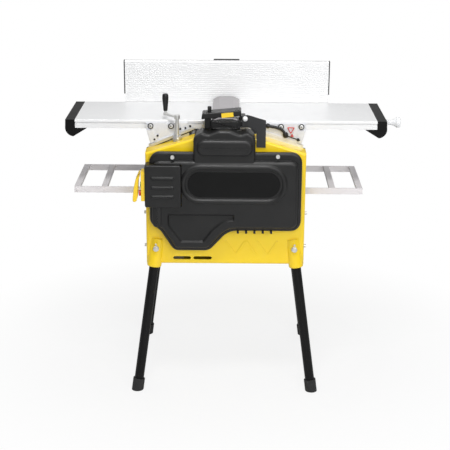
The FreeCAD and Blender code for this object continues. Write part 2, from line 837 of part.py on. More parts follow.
def knife_room(side, gap):
    """The slot in the block for one knife and its gib."""
    x = ("cutter_x - 3.2", f"cutter_x - 3.2 + {KNIFE_THICK + GIB_THICK + 3 * gap}")
    if side > 0:
        z = (f"{CUTTER_Z} + block_radius - {KNIFE_DEPTH}", f"{CUTTER_Z} + block_radius + 4")
    else:
        x = (f"cutter_x + 3.2 - {KNIFE_THICK + GIB_THICK + 3 * gap}", "cutter_x + 3.2")
        z = (f"{CUTTER_Z} - block_radius - 4", f"{CUTTER_Z} - block_radius + {KNIFE_DEPTH}")
    return block(x, (f"{CUTTER_FRONT} - 2", f"{CUTTER_BACK} + 2"), z)


def knife_bar(side):
    x = (
        "cutter_x - 3", f"cutter_x - 3 + {KNIFE_THICK}",
    ) if side > 0 else (f"cutter_x + 3 - {KNIFE_THICK}", "cutter_x + 3")
    reach = ("block_radius - 17.8", "knife_radius - 0.2")
    z = [f"{CUTTER_Z} + {side} * ({r})" for r in reach]
    return block(x, (CUTTER_FRONT, CUTTER_BACK), z if side > 0 else z[::-1])


def gib_bar(side):
    start = KNIFE_THICK - 3 + 0.2
    x = [f"cutter_x + {side * start}", f"cutter_x + {side * (start + GIB_THICK - 0.2)}"]
    z = [f"{CUTTER_Z} + {side} * ({r})" for r in ("block_radius - 17.8", "block_radius - 2")]
    return block(x if side > 0 else x[::-1], (CUTTER_FRONT, CUTTER_BACK), z if side > 0 else z[::-1])


def make_roller(side, grooved):
    """A feed roller with its shaft; the feeding-in one is grooved to grip."""
    axis = (f"cutter_x + {side} * roller_reach", ROLLER_Z)
    barrel = round_bar("y", axis, ("3", "table_depth - 3"), "roller_radius")
    shaft = round_bar("y", axis, (FRAME_FRONT, f"{FRAME_REAR} + 9"), "roller_shaft")
    roller = fuse(barrel, shaft)
    if not grooved:
        return roller
    x, z = value(axis[0]), value(axis[1])
    teeth, reach = 16, value("roller_radius")
    grooves = []
    for n in range(teeth):
        turn = 2 * math.pi * n / teeth
        groove = round_bar(
            "y", (f"{x + reach * math.cos(turn)}", f"{z + reach * math.sin(turn)}"),
            ("1", "table_depth - 1"), "1.2",
        )
        grooves.append(groove)
    return cut(roller, *grooves)


def make_sprocket(axis, teeth, radius, bore):
    """A chain wheel between the rear frame and the chain's far side."""
    span = (f"{FRAME_REAR} + 4", f"{FRAME_REAR} + 8")
    rim = []
    for n in range(teeth):
        for share, reach in ((-0.30, radius - 2.5), (-0.12, radius), (0.12, radius), (0.30, radius - 2.5)):
            turn = 2 * math.pi * (n + share) / teeth
            rim.append(
                Vector(
                    value(axis[0]) + reach * math.cos(turn), value(span[0]),
                    value(axis[1]) + reach * math.sin(turn),
                )
            )
    face = Part.Face(Part.makePolygon(rim + rim[:1]))
    wheel = face.extrude(Vector(0, value(span[1]) - value(span[0]), 0))
    hole = Part.makeCylinder(
        bore, 30, Vector(value(axis[0]), value(span[0]) - 5, value(axis[1])), Vector(0, 1, 0),
    )
    return solid_feature(wheel.cut(hole))


def sleeve(axis, span, outer, bore):
    """A bush or bearing on a shaft along Y."""
    hole = round_bar("y", axis, (f"{span[0]} - 1", f"{span[1]} + 1"), f"{bore} + fit_gap")
    return cut(round_bar("y", axis, span, outer), hole)


def make_bearings():
    """The cutter's bearings, the rollers' bushes and the lift screw's two bearings."""
    rings = []
    for span in ((FRAME_FRONT, FRONT_FACE), (REAR_FACE, FRAME_REAR)):
        rings.append(sleeve(("cutter_x", CUTTER_Z), span, "bearing_radius", "journal_radius"))
    for side in (-1, 1):
        for span in ((FRAME_FRONT, FRONT_FACE), (REAR_FACE, FRAME_REAR)):
            rings.append(
                sleeve((f"cutter_x + {side} * roller_reach", ROLLER_Z), span, "bush_radius", "roller_shaft")
            )
    keep("shaft_bearings", group(*rings, *screw_bearings()))


GEAR_X = "(motor_x + 46)"
GEAR_Z = "(motor_z + 28)"


def make_feed():
    """The feed rollers and the geared chain drive that turns them, behind the rear frame."""
    for name, side, grooved in (("feed_in", -1, True), ("feed_out", 1, False)):
        axis = (f"cutter_x + {side} * roller_reach", ROLLER_Z)
        sprocket = make_sprocket(axis, 12, value("chain_radius"), value("roller_shaft + fit_gap"))
        keep(f"{name}_roller", group(make_roller(side, grooved), sprocket))
    gear_axis = (GEAR_X, GEAR_Z)
    span = (f"{REAR_FACE} - 50", REAR_FACE)
    housing = block(("motor_x - 40", f"{GEAR_X} + 30"), span, ("motor_z - 40", f"{GEAR_Z} + 30"))
    housing = rounded(housing, 6.0, lambda e: abs(e.Vertexes[0].Y - e.Vertexes[-1].Y) > 20)
    input_room = round_bar(
        "y", ("motor_x", "motor_z"), (f"{span[0]} - 2", f"{span[1]} - 15"), "motor_shaft + fit_gap",
    )
    output_room = round_bar("y", gear_axis, (f"{span[1]} - 20", f"{span[1]} + 2"), "7 + fit_gap")
    keep("feed_gearbox", cut(housing, input_room, output_room))
    output = round_bar("y", gear_axis, (f"{span[1]} - 19", f"{FRAME_REAR} + 10"), "7")
    keep("gearbox_sprocket", fuse(make_sprocket(gear_axis, 12, value("chain_radius"), 5.0), output))
    keep("feed_chain", solid_feature(loop_band(
        [("cutter_x - roller_reach", ROLLER_Z), ("cutter_x + roller_reach", ROLLER_Z), gear_axis],
        [value("chain_radius + seat_gap")] * 3, 3.0, value(f"{FRAME_REAR} + 4.5"), 3.0)))
    make_bearings()


def loop_band(centres, radii, thick, start_y, width):
    """A belt or chain: the band round circles, made from its outer hull less its inner one."""
    places = [Vector(value(x), start_y, value(z)) for x, z in centres]
    outer = hull_of_discs(places, [r + thick for r in radii], width)
    inner = hull_of_discs([p - Vector(0, 1, 0) for p in places], radii, width + 2)
    return outer.cut(inner)


def hull_of_discs(places, radii, width):
    """The solid inside a taut band round upright discs that are listed clockwise or anticlockwise."""
    solid = None
    count = len(places)
    for place, radius in zip(places, radii):
        disc = Part.makeCylinder(radius, width, place, Vector(0, 1, 0))
        solid = disc if solid is None else solid.fuse(disc)
    middle_points = []
    for n in range(count if count > 2 else 1):
        a, b, ra, rb = places[n], places[(n + 1) % count], radii[n], radii[(n + 1) % count]
        solid = solid.fuse(tangent_web(a, b, ra, rb, width))
        middle_points.append(a)
    if count > 2:
        core = Part.Face(Part.makePolygon([*middle_points, middle_points[0]])).extrude(Vector(0, width, 0))
        solid = solid.fuse(core)
    return solid.removeSplitter()


def tangent_web(a, b, ra, rb, width):
    """The four-sided web between two discs whose long sides touch both."""
    along = b - a
    length = along.Length
    along = along.normalize()
    across = Vector(-along.z, 0, along.x)
    lean = math.asin((ra - rb) / length)
    corners = []
    for sense in (1, -1):
        normal = along * math.sin(lean) + across * (sense * math.cos(lean))
        corners.append((a + normal * ra, b + normal * rb))
    rim = [corners[0][0], corners[0][1], b, corners[1][1], corners[1][0], a]
    return Part.Face(Part.makePolygon([*rim, rim[0]])).extrude(Vector(0, width, 0))


def make_kickback_guard():
    """Fingers on a rod that let a board in and jam it if it is thrown back."""
    x, z = "cutter_x - roller_reach - roller_radius - finger_reach", "ridge - 3"
    keep("finger_rod", round_bar("y", (x, z), (FRONT_FACE, REAR_FACE), "5"))
    fingers = []
    for n in range(12):
        low = 14 + 20.5 * n
        span = (f"{low}", f"{low + 14}")
        tail = prism(
            "xz",
            [
                (f"{x} - 5", z), (f"{x} + 7", f"{z} - 29"), (f"{x} + 14", f"{z} - 27"),
                (f"{x} + 6", f"{z} + 2"),
            ],
            span,
        )
        ring = fuse(round_bar("y", (x, z), span, "9"), tail)
        fingers.append(cut(ring, round_bar("y", (x, z), (f"{low - 1}", f"{low + 15}"), "5 + seat_gap")))
    keep("kickback_fingers", group(*fingers))


# ---- motor ----
def make_motor():
    axis = ("motor_x", "motor_z")
    end = f"({FRONT_FACE} + motor_length)"
    body = fuse(
        round_bar("y", axis, (FRONT_FACE, f"{FRONT_FACE} + 10"), "motor_radius + 6"),
        round_bar("y", axis, (f"{FRONT_FACE} + 10", end), "motor_radius"),
    )
    fins = []
    for n in range(10):
        low = 30 + 17 * n
        ring = round_bar(
            "y", axis, (f"{FRONT_FACE} + {low}", f"{FRONT_FACE} + {low + 4}"), "motor_radius + 4",
        )
        fins.append(ring)
    keep(
        "motor",
        cut(
            fuse(body, *fins),
            round_bar("y", axis, (f"{FRONT_FACE} - 2", f"{end} + 2"), "motor_shaft + seat_gap"),
        ),
    )
    keep(
        "motor_shaft",
        round_bar("y", axis, (f"{PULLEY_BACK} - belt_width - 4", f"{REAR_FACE} - 16"), "motor_shaft"),
    )
    span = (f"{PULLEY_BACK} - belt_width - 2", PULLEY_BACK)
    wheel = round_bar("y", axis, span, "motor_pulley")
    keep(
        "motor_pulley",
        cut(wheel, round_bar("y", axis, (f"{span[0]} - 1", f"{span[1]} + 1"), "motor_shaft + fit_gap")),
    )
    keep("drive_belt", solid_feature(loop_band(
        [axis, ("cutter_x", CUTTER_Z)],
        [value("motor_pulley + seat_gap"), value("cutter_pulley + seat_gap")],
        value("belt_thick"), value(f"{PULLEY_BACK} - belt_width - 1"), value("belt_width"))))


# ---- thicknessing table ----
def make_bed():
    """The thicknessing table with its ribs, its square lift column and the clips for the extension rails."""
    bed = [block(("-bed_half", "bed_half"), (CUTTER_FRONT, CUTTER_BACK), (BED_BOTTOM, "bed_top"))]
    for y in ("55", "125", "139", "209"):
        bed.append(
            block(("-bed_half + 10", "bed_half - 10"), (y, f"{y} + 6"), (RIB_BOTTOM, f"{BED_BOTTOM} + 1"))
        )
    centre = "table_depth / 2"
    bed.append(
        block(
            ("column_x - 32", "column_x + 32"), (f"{centre} - 32", f"{centre} + 32"),
            (RIB_BOTTOM, f"{BED_BOTTOM} + 1"),
        )
    )
    column = square_bar("column_half", f"{TRAY_TOP} + 13", RIB_BOTTOM)
    column = cut(column, square_bar("column_half - 5", f"{TRAY_TOP} + 12", f"{RIB_BOTTOM} - 8"))
    keep("thicknesser_table", group(fuse(*bed), column, *rail_clips()))


def square_bar(half, low, high):
    """An upright square bar on the lift column's axis."""
    centre = "table_depth / 2"
    x = (f"column_x - ({half})", f"column_x + {half}")
    return block(x, (f"{centre} - ({half})", f"{centre} + {half}"), (low, high))


RAIL_FRONT = "(table_depth - cutter_width) / 2 - 1 - rail_thick"
RAIL_BACK = "(table_depth + cutter_width) / 2 + 1"


def make_extension(side, reach):
    """A ladder of two flat rails and two rungs that draws out of the thicknessing table's end."""
    rails = []
    inner = f"{side} * ({reach} - rail_length)"
    outer = f"{side} * {reach}"
    span = (inner, outer) if side > 0 else (outer, inner)
    for low in (RAIL_FRONT, RAIL_BACK):
        rails.append(block(span, (low, f"{low} + rail_thick"), ("bed_top - rail_height", "bed_top")))
    rungs = []
    for step in ("0", "rung_pitch"):
        near = f"{side} * ({reach} - {step} - rung_width)"
        far = f"{side} * ({reach} - {step})"
        rung = (near, far) if side > 0 else (far, near)
        rungs.append(
            block(rung, (f"{RAIL_FRONT} + rail_thick", RAIL_BACK), ("bed_top - rung_thick", "bed_top"))
        )
        middle = f"{side} * ({reach} - {step} - rung_width / 2)"
        rungs.append(
            round_bar(
                "y", (middle, "bed_top - rail_height / 2"), (f"{RAIL_FRONT} - 2", f"{RAIL_FRONT} + 1"), "4",
            )
        )
        back = f"{RAIL_BACK} + rail_thick"
        rungs.append(
            round_bar("y", (middle, "bed_top - rail_height / 2"), (f"{back} - 1", f"{back} + 2"), "4")
        )
    return fuse(*rails, *rungs)


def rail_clips():
    """Folded clips under the thicknessing table in which the extension rails slide."""
    clips = []
    for x in (180.0, 208.0):
        for side in (-1, 1):
            span = (f"{side * x - 12}", f"{side * x + 12}")
            for outward, rail in ((-1, RAIL_FRONT), (1, f"{RAIL_BACK} + rail_thick")):
                tuck = f"{rail} + {-outward * 26}"
                lip = f"{rail} + {outward} * 2.4"
                floor = (lip, tuck) if outward < 0 else (tuck, lip)
                low = "bed_top - rail_height - seat_gap - 3.7"
                plate = block(span, floor, (low, "bed_top - rail_height - seat_gap"))
                inner = (f"{CUTTER_FRONT} + 1", tuck) if outward < 0 else (tuck, f"{CUTTER_BACK} - 1")
                root = block(span, inner, ("bed_top - rail_height - seat_gap - 1", BED_BOTTOM))
                edge = f"{rail} + {outward} * seat_gap"
                rim_span = (lip, edge) if outward < 0 else (edge, lip)
                rim = block(span, rim_span, ("bed_top - rail_height - seat_gap - 1", BED_BOTTOM))
                clips.append(fuse(plate, root, rim))
    return clips


def screw_bearings():
    """The lift screw's step bearing and the collar where its spindle leaves the roof."""
    axis = ("screw_x", "screw_y")
    step = cut(
        block(
            ("screw_x - 18", "screw_x + 18"), ("screw_y - 18", FRAME_FRONT),
            ("body_bottom + shell_wall", "body_bottom + 26"),
        ),
        round_bar("z", axis, ("body_bottom + 9.5", "body_bottom + 40"), "screw_radius + fit_gap"),
    )
    over = roof("-(screw_x)")
    collar = fuse(
        round_bar("z", axis, (f"{over} - 8", f"{over} + 14"), "spindle_radius + 7"),
        round_bar("z", axis, (f"{over} + 5", f"{over} + 10"), "spindle_radius + 9"),
    )
    return [
        step,
        cut(collar, round_bar("z", axis, (f"{over} - 13", f"{over} + 20"), "spindle_radius + fit_gap")),
    ]


def make_lift():
    axis = ("screw_x", "screw_y")
    screw = fuse(
        round_bar("z", axis, ("body_bottom + 10", "eave - 4"), "screw_radius"),
        round_bar("z", axis, ("eave - 5", "crank_height + 7"), "spindle_radius"),
    )
    keep("lift_screw", screw)
    nut = block(
        ("screw_x - 20", "screw_x + 20"), ("screw_y - 17", "screw_y + 17"),
        ("bed_top - 44", "bed_top - 12"),
    )
    neck = block(
        ("screw_x - 8", "screw_x + 8"), ("screw_y + 16", "40"),
        ("bed_top - 36", "bed_top - rail_height - 2"),
    )
    toe = block(("screw_x - 8", "screw_x + 8"), ("12", "40"), ("bed_top - rail_height - 3", BED_BOTTOM))
    keep(
        "lift_nut",
        cut(
            fuse(nut, neck, toe),
            round_bar("z", axis, ("bed_top - 60", "bed_top"), "screw_radius + fit_gap"),
        ),
    )
    crank_turn = math.radians(131.0)
    grip_x = value("screw_x") + value("crank_arm") * math.cos(crank_turn)
    grip_y = value("screw_y") + value("crank_arm") * math.sin(crank_turn)
    hub = round_bar("z", axis, ("crank_height - 2", "crank_height + 10"), "9")
    tip = round_bar("z", (f"{grip_x}", f"{grip_y}"), ("crank_height", "crank_height + 7"), "7")
    bar = doc.addObject("Part::Box", "CrankBar")
    bind(bar, "Length", "crank_arm")
    bar.Width, bar.Height = 9.0, 6.0
    bar.Placement = FreeCAD.Placement(
        Vector(
            value("screw_x"), value("screw_y"), value("crank_height"),
        ) + Vector(math.sin(crank_turn), -math.cos(crank_turn), 0) * 4.5,
        FreeCAD.Rotation(Vector(0, 0, 1), math.degrees(crank_turn)),
    )
    arm = cut(
        fuse(hub, tip, bar),
        round_bar("z", axis, ("crank_height - 10", "crank_height + 7"), "spindle_radius + fit_gap"),
    )
    stud = round_bar("z", (f"{grip_x}", f"{grip_y}"), ("crank_height + 6", "crank_height + 30"), "4")
    keep("crank", fuse(arm, stud))
    foot, top = "crank_height + 13", "crank_height + 13 + grip_length"
    grip = fuse(
        round_bar("z", (f"{grip_x}", f"{grip_y}"), (foot, f"{foot} + 14"), "grip_radius - 3", "grip_radius"),
        round_bar("z", (f"{grip_x}", f"{grip_y}"), (f"{foot} + 14", f"{top} - 3"), "grip_radius"),
        round_bar("z", (f"{grip_x}", f"{grip_y}"), (f"{top} - 3", top), "grip_radius", "grip_radius - 2.5"),
    )
    keep(
        "crank_grip",
        cut(
            grip,
            round_bar("z", (f"{grip_x}", f"{grip_y}"), (f"{foot} - 1", f"{foot} + 18"), "4 + fit_gap"),
        ),
    )


def make_thicknesser():
    make_bed()
    keep("left_extension", make_extension(-1, "left_reach"))
    keep("right_extension", make_extension(1, "right_reach"))
    make_lift()


# ---- fence ----
def make_fence():
    low, top = "table_top + fence_lift", "table_top + fence_height"
    face, back = "table_depth", "table_depth + fence_face"
    far = "table_depth + fence_face + fence_box"
    foot = f"{low} + fence_foot"
    profile = [(face, low), (back, low), (back, foot), (far, foot), (far, top), (face, top)]
    span = ("-fence_half", "fence_half")
    hollows = []
    count = 4
    for n in range(count):
        a = f"{foot} + 2.5 + ({top} - ({foot}) - 2.5) * {n} / {count}"
        b = f"{foot} + ({top} - ({foot}) - 2.5) * {n + 1} / {count}"
        hollows.append(block(("-fence_half - 5", "fence_half + 5"), (back, f"{far} - 2.5"), (a, b)))
    grooves = []
    for n in range(1, 9):
        z = f"{low} + {15 * n}"
        grooves.append(
            block(("-fence_half - 5", "fence_half + 5"), (f"{face} - 1", f"{face} + 0.7"), (z, f"{z} + 1.6"))
        )
    keep("fence", cut(prism("yz", profile, span), *hollows, *grooves))
    caps = []
    for side in (-1, 1):
        x = ("-fence_half - 3", "-fence_half") if side < 0 else ("fence_half", "fence_half + 3")
        caps.append(block(x, (f"{face} + 0.5", far), (f"{foot} + 1", top)))
    keep("fence_end_caps", group(*caps))
    make_fence_carriage(far, foot, top)


def make_fence_carriage(far, foot, top):
    """The plate behind the fence, its hinge pin, the sliding arm and the block that guides the arm."""
    pin_y, pin_z = "table_depth + 14", "table_top + 13"
    plate = block(("-44", "42"), (far, f"{far} + 6"), (f"{foot} + 3", f"{top} + 3"))
    outline = [
        (f"{pin_y} - 3", f"{pin_z} + 6"), (f"{pin_y} + 6", f"{pin_z} - 3"), (f"{far} + 6", f"{foot} + 4"),
        (f"{far} + 6", f"{foot} + 14"), (far, f"{foot} + 14"), (far, f"{foot} - seat_gap"),
        (f"{pin_y} + 2", f"{foot} - seat_gap"),
    ]
    boss = round_bar("x", (pin_y, pin_z), ("-14.5", "14.5"), "7.5")
    pin_hole = round_bar("x", (pin_y, pin_z), ("-40", "40"), "pin_radius + fit_gap")
    keep("fence_tilt_plate", cut(fuse(plate, prism("yz", outline, ("-14.5", "14.5")), boss), pin_hole))
    low = "table_top + 2"
    bar = block(
        ("-arm_half", "arm_half"), ("table_depth + 38", "table_depth + 13 + arm_length"),
        (low, f"{low} + arm_thick"),
    )
    ears = []
    for x in (("-25", "-15"), ("15", "25")):
        ears.append(block(x, (pin_y, "table_depth + 39"), (low, f"{low} + arm_thick")))
        ears.append(block(x, (pin_y, f"{pin_y} + 7"), (low, f"{pin_z} + 3")))
        ears.append(round_bar("x", (pin_y, pin_z), x, "7"))
    pin = round_bar("x", (pin_y, pin_z), ("-27", "30"), "pin_radius")
    keep("fence_arm", group(cut(fuse(bar, *ears), pin_hole), pin))
    make_fence_guide(low)
    keep("fence_tilt_knob", cut(
        fuse(
            round_bar("x", (pin_y, pin_z), ("25.3", "33"), "7"),
            round_bar("x", (pin_y, pin_z), ("33", "52"), "9.5"),
        ),
        round_bar("x", (pin_y, pin_z), ("24", "31"), "pin_radius + fit_gap"),
    ))


def make_fence_guide(low):
    """The bracket on the rear casing, the guide block for the fence's arm and the knob that locks it."""
    start, end = "table_depth + 54", "table_depth + 94"
    place = ("0", "table_depth + 74")
    wide = ("-arm_half - 14", "arm_half + 14")
    guide = block(wide, (start, end), ("table_top - 16", f"{low} + arm_thick + 9"))
    room = block(("-arm_half - seat_gap", "arm_half + seat_gap"), (f"{start} - 2", f"{end} + 2"),
                 (f"{low} - seat_gap", f"{low} + arm_thick + seat_gap"))
    guide = cut(guide, room, round_bar("z", place, (low, "table_top + 60"), "4 + fit_gap"))
    shelf_top = "table_top - 16"
    shelf = block(wide, (PANEL_REAR, end), (f"{shelf_top} - 8", shelf_top))
    leg = block(wide, (PANEL_REAR, f"{PANEL_REAR} + 8"), ("ridge - 60", shelf_top))
    brace = prism("yz", [(f"{PANEL_REAR} + 7", f"{shelf_top} - 45"), (f"{end} - 3", f"{shelf_top} - 7"),
                         (f"{PANEL_REAR} + 7", f"{shelf_top} - 7")], ("-4", "4"))
    keep("fence_bracket", group(fuse(shelf, leg, brace), guide))
    knob_z = f"{low} + arm_thick + 9"
    keep("fence_lock_knob", fuse(
        round_bar("z", place, (f"{low} + arm_thick + 0.4", f"{knob_z} + 4"), "4"),
        round_bar("z", place, (f"{knob_z} + 0.4", f"{knob_z} + 11"), "12"),
    ))


# ---- cutter guard ----
POST_PLACES = (("guard_left + 18", "guard_front + 33"), ("guard_left + 68", "guard_front + 33"))


def make_guard():
    """The bridge guard over the cutter, its tilted carrier, and the bracket on which the carrier rises."""
    left, right = "guard_left", "guard_left + guard_width"
    crown, edge = "guard_edge + guard_crown", "guard_edge"
    wall = "guard_wall"
    keep("bridge_guard", prism("xz", [
        (left, f"{edge} - 6"), (left, edge), (f"{left} + 20", crown), (f"{right} - 20", crown),
        (right, edge),
        (right, f"{edge} - 6"), (f"{right} - {wall}", f"{edge} - 6"), (f"{right} - {wall}", f"{edge} - 2"),
        (f"{right} - 21", f"{crown} - {wall}"), (f"{left} + 21", f"{crown} - {wall}"),
        (f"{left} + {wall}", f"{edge} - 2"),
        (f"{left} + {wall}", f"{edge} - 6"),
    ], ("guard_front", "guard_back")))
    post_places = POST_PLACES
    carrier = prism("xz", [
        (f"{left} + 1", f"{edge} - 16"), (f"{right} - 5", f"{edge} - 16"), (f"{right} + 5", f"{edge} - 8"),
        (f"{right} + 5", f"{edge} + 24"),
        (f"{left} - 31", f"{edge} + 14"), (f"{left} - 33", f"{edge} + 2"), (f"{left} - 12", f"{edge} + 3"),
        (f"{left} - 10", f"{edge} - 16"),
    ], ("guard_front + 6", "guard_front + 54"))
    tunnel = block((f"{left} - seat_gap", f"{right} + seat_gap"), ("guard_front - 5", "guard_front + 60"),
                   (f"{edge} - 6 - seat_gap", f"{crown} + seat_gap"))
    posts = [
        round_bar("z", place, ("guard_post_foot", f"{edge} - 15"), "guard_post_radius")
        for place in post_places
    ]
    screw_place = (f"{left} - 7", "guard_front + 30")
    screw_room = round_bar("z", screw_place, (f"{edge} + 4", f"{edge} + 40"), "4 + fit_gap")
    keep("guard_carrier", fuse(cut(carrier, tunnel, screw_room), *posts))
    plinth = block(
        (f"{left} + 1", f"{right} - 5"), ("guard_front + 6", "guard_front + 54"),
        ("hump_top + 0.5", f"{edge} - 16 - seat_gap"),
    )
    post_rooms = [
        round_bar(
            "z", place, ("hump_top - 5", "guard_edge"), "guard_post_radius + fit_gap",
        ) for place in post_places
    ]
    plate = prism("xz", [
        ("94", "ridge - 26"), ("123", "ridge - 26"), ("123", f"{edge} + 5"), ("66", f"{edge} + 22"),
        (f"{right} + 8", f"{edge} + 18"), (f"{right} + 8", "dome_top + 3"), ("70", "dome_top + 3"),
        ("94", "dome_top - 12"),
    ], (f"{PANEL_FRONT} - 5", PANEL_FRONT))
    tie = block(
        (f"{right} - 6", "100"), (PANEL_FRONT, "guard_front + 20"),
        ("dome_top + 1", f"{edge} - 16 - seat_gap"),
    )
    keep("guard_bracket", cut(fuse(plinth, tie, plate), *post_rooms))
    place = (f"{right} + 17", f"{edge} + 12")
    keep("guard_clamp_knob", fuse(
        round_bar("y", place, (f"{PANEL_FRONT} - 20", f"{PANEL_FRONT} - 8"), "8"),
        round_bar("y", place, (f"{PANEL_FRONT} - 9", f"{PANEL_FRONT} - 5 - seat_gap"), "4"),
    ))
    keep("guard_height_screw", fuse(
        round_bar("z", screw_place, (f"{edge} + 23", f"{edge} + 39"), "6.3"),
        round_bar("z", screw_place, (f"{edge} + 6", f"{edge} + 24"), "4"),
    ))


# ---- covers and switch ----


def cover_outline(inset):
    """The drive cover: a wide plate with a dome over the cutter's pulley and a lobe round the motor's."""
    points = [
        (f"-236 + {inset}", f"572 + {inset} / 2"), (f"-203 + {inset} / 2", f"540 + {inset}"),
        (f"-161 + {inset} / 2", f"475 + {inset}"),
        (f"-50 - {inset} / 2", f"475 + {inset}"), (f"8 - {inset} / 4", f"540 + {inset}"),
        (f"210 - {inset} / 2", f"543 + {inset}"),
        (f"236 - {inset}", "570"), (f"236 - {inset}", "776"), (f"211 - {inset} / 2", f"801 - {inset}"),
        (f"88 - {inset}", f"801 - {inset}"), (f"88 - {inset}", "836"),
        (f"66 - {inset} / 2", f"861 - {inset}"), ("43", f"854 - {inset}"),
        ("14", f"dome_top - {inset}"), ("-21", f"dome_top - {inset}"), ("-52", f"854 - {inset}"),
        (f"-75 + {inset} / 2", f"861 - {inset}"),
        (f"-102 + {inset}", "836"), (f"-102 + {inset}", f"801 - {inset}"),
        (f"-210 + {inset} / 2", f"801 - {inset}"),
        (f"-236 + {inset}", "776"),
    ]
    return points


def make_covers():
    """The black drive cover, hollow at the back, and the vented switch box set into its left side."""
    shell = prism("xz", cover_outline("0"), (COVER_FRONT, PANEL_FRONT))
    front_y = value(COVER_FRONT)
    shell = rounded(shell, 6.0, lambda e: on_face_rim(e, front_y))
    hood = prism("xz", cover_outline("0")[9:19], (f"{PANEL_FRONT} - 1", "hood_back"))
    hollow = prism("xz", cover_outline("cover_wall"), (f"{COVER_FRONT} + cover_wall", f"{PANEL_FRONT} + 1"))
    room_points = [
        ("88 - cover_wall", "790"), *cover_outline("cover_wall")[10:18], ("-102 + cover_wall", "790"),
    ]
    hood_room = prism("xz", room_points, (f"{PANEL_FRONT} - 2", "hood_back + 2"))
    saddle_room = block(("-60", "47"), (PANEL_FRONT, "0"), ("ridge - 10", "dome_top + 9"))
    roof_room = prism("xz", house_outline("(0 - seat_gap)"), (f"{PANEL_FRONT}", "0"))
    box_room = block(("-260", "-136.5"), (f"{COVER_FRONT} - 5", f"{PANEL_FRONT} + 5"), ("625.5", "758.5"))
    screw_rooms = [
        round_bar("y", (f"{x}", f"{z}"), (f"{COVER_FRONT} - 2", f"{COVER_FRONT} + 12"), "8")
        for x, z in COVER_SCREWS
    ]
    keep(
        "drive_cover",
        cut(fuse(shell, hood), hollow, hood_room, saddle_room, roof_room, box_room, *screw_rooms),
    )
    box = block(("-247", "-137"), (VENT_FRONT, PANEL_FRONT), ("626", "758"))
    box = rounded(box, 4.0, lambda e: on_face_rim(e, value(VENT_FRONT)))
    inside = block(("-244", "-140"), (f"{VENT_FRONT} + 3", f"{PANEL_FRONT} + 1"), ("629", "755"))
    louvres = [
        block(("-223", "-161"), (f"{VENT_FRONT} - 1", f"{VENT_FRONT} + 4"), (f"{z}", f"{z + 5}"))
        for z in (650, 683, 716)
    ]
    base = block(("-261", "-247"), SWITCH_SPAN, ("644", "736"))
    base = rounded(base, 2.5, lambda e: abs(e.CenterOfMass.x + 261) < 1e-6)
    wells = [round_bar("x", place, ("-262", "-251"), f"{radius} + seat_gap") for place, radius in BUTTONS]
    keep("switch_box", cut(fuse(cut(box, inside, *louvres), base), *wells))


def cover_screws():
    return [
        fuse(
            round_bar("y", (f"{x}", f"{z}"), (f"{COVER_FRONT} + 4", f"{COVER_FRONT} + 10"), "6"),
            round_bar("y", (f"{x}", f"{z}"), (f"{COVER_FRONT} + 9", PANEL_FRONT), "3"),
        )
        for x, z in COVER_SCREWS
    ]


SWITCH_SPAN = ("-128", "-90")
BUTTONS = ((("-109", "664"), "9"), (("-109", "692"), "8"))
COVER_SCREWS = ((-163.0, 782.0), (160.0, 786.0))


def make_switch():
    """The switch on the switch box: start and stop buttons, and a stop flap hinged at its top."""
    stop, start = BUTTONS
    keep("stop_button", round_bar("x", stop[0], ("-268", "-256"), stop[1]))
    keep("start_button", round_bar("x", start[0], ("-264", "-256"), start[1]))
    knuckle = round_bar("y", ("-261 - 2.5 - seat_gap", "730"), SWITCH_SPAN, "2.5")
    flap = prism("xz", [
        ("-264", "732"), ("-267", "731"), ("-278", "700"), ("-284", "650"), ("-287", "640"),
        ("-282", "640"), ("-278", "652"),
        ("-272.5", "698"), ("-265.5", "722"), ("-264", "728"),
    ], SWITCH_SPAN)
    keep("stop_flap", fuse(flap, knuckle))


def make_fasteners():
    """The screws and bolts that stay with the body."""
    studs = []
    for side in (-1, 1):
        for z in (472.0, 582.0):
            span = ("-body_half - 8", "-body_half") if side < 0 else ("body_half", "body_half + 8")
            studs.append(round_bar("x", ("-45", f"{z}"), span, "5"))
    keep(
        "body_bolts",
        group(*studs, *leg_bolt_bars("leg_bolts", tuple(LEGS)), *table_bolt_bars(-1), *cover_screws()),
    )


# ---- build, place and write ----
def check_states():
    for thing in doc.Objects:
        if "Invalid" in thing.State or "Error" in thing.State:
            raise RuntimeError(f"{thing.Label} ({thing.TypeId}) failed: {thing.State}")
    for thing in parts:
        if thing.Shape.isNull() or not thing.Shape.isValid() or not thing.Shape.Solids:
            raise RuntimeError(f"{thing.Label} has no valid solid")


def centre_on_footprint():
    """Puts the part's origin on the floor under the middle of the whole machine."""
    box = FreeCAD.BoundBox()
    for thing in parts:
        box.add(thing.Shape.BoundBox)
    sheet.set(CELLS["frame_x"], f"{-box.Center.x:.4f}")
    sheet.set(CELLS["frame_y"], f"{-box.Center.y:.4f}")
    doc.recompute()


def main():
    make_body()
    make_legs()
    make_tables()
    make_depth_adjuster()
    make_cutter()
    make_feed()
    make_kickback_guard()
    make_motor()
    make_thicknesser()
    make_fence()
    make_guard()
    make_covers()
    make_switch()
    make_fasteners()
    doc.recompute()
    check_states()
    centre_on_footprint()
    check_states()
    os.makedirs("parts", exist_ok=True)
    for thing in parts:
        thing.Shape.exportStep(f"parts/{thing.Label}.step")
    print(len(parts), "sub-parts; machine axes at", sheet.get(CELLS["frame_x"]), sheet.get(CELLS["frame_y"]))


main()
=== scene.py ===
import json
import math

import bmesh
import bpy
from mathutils import Matrix, Vector


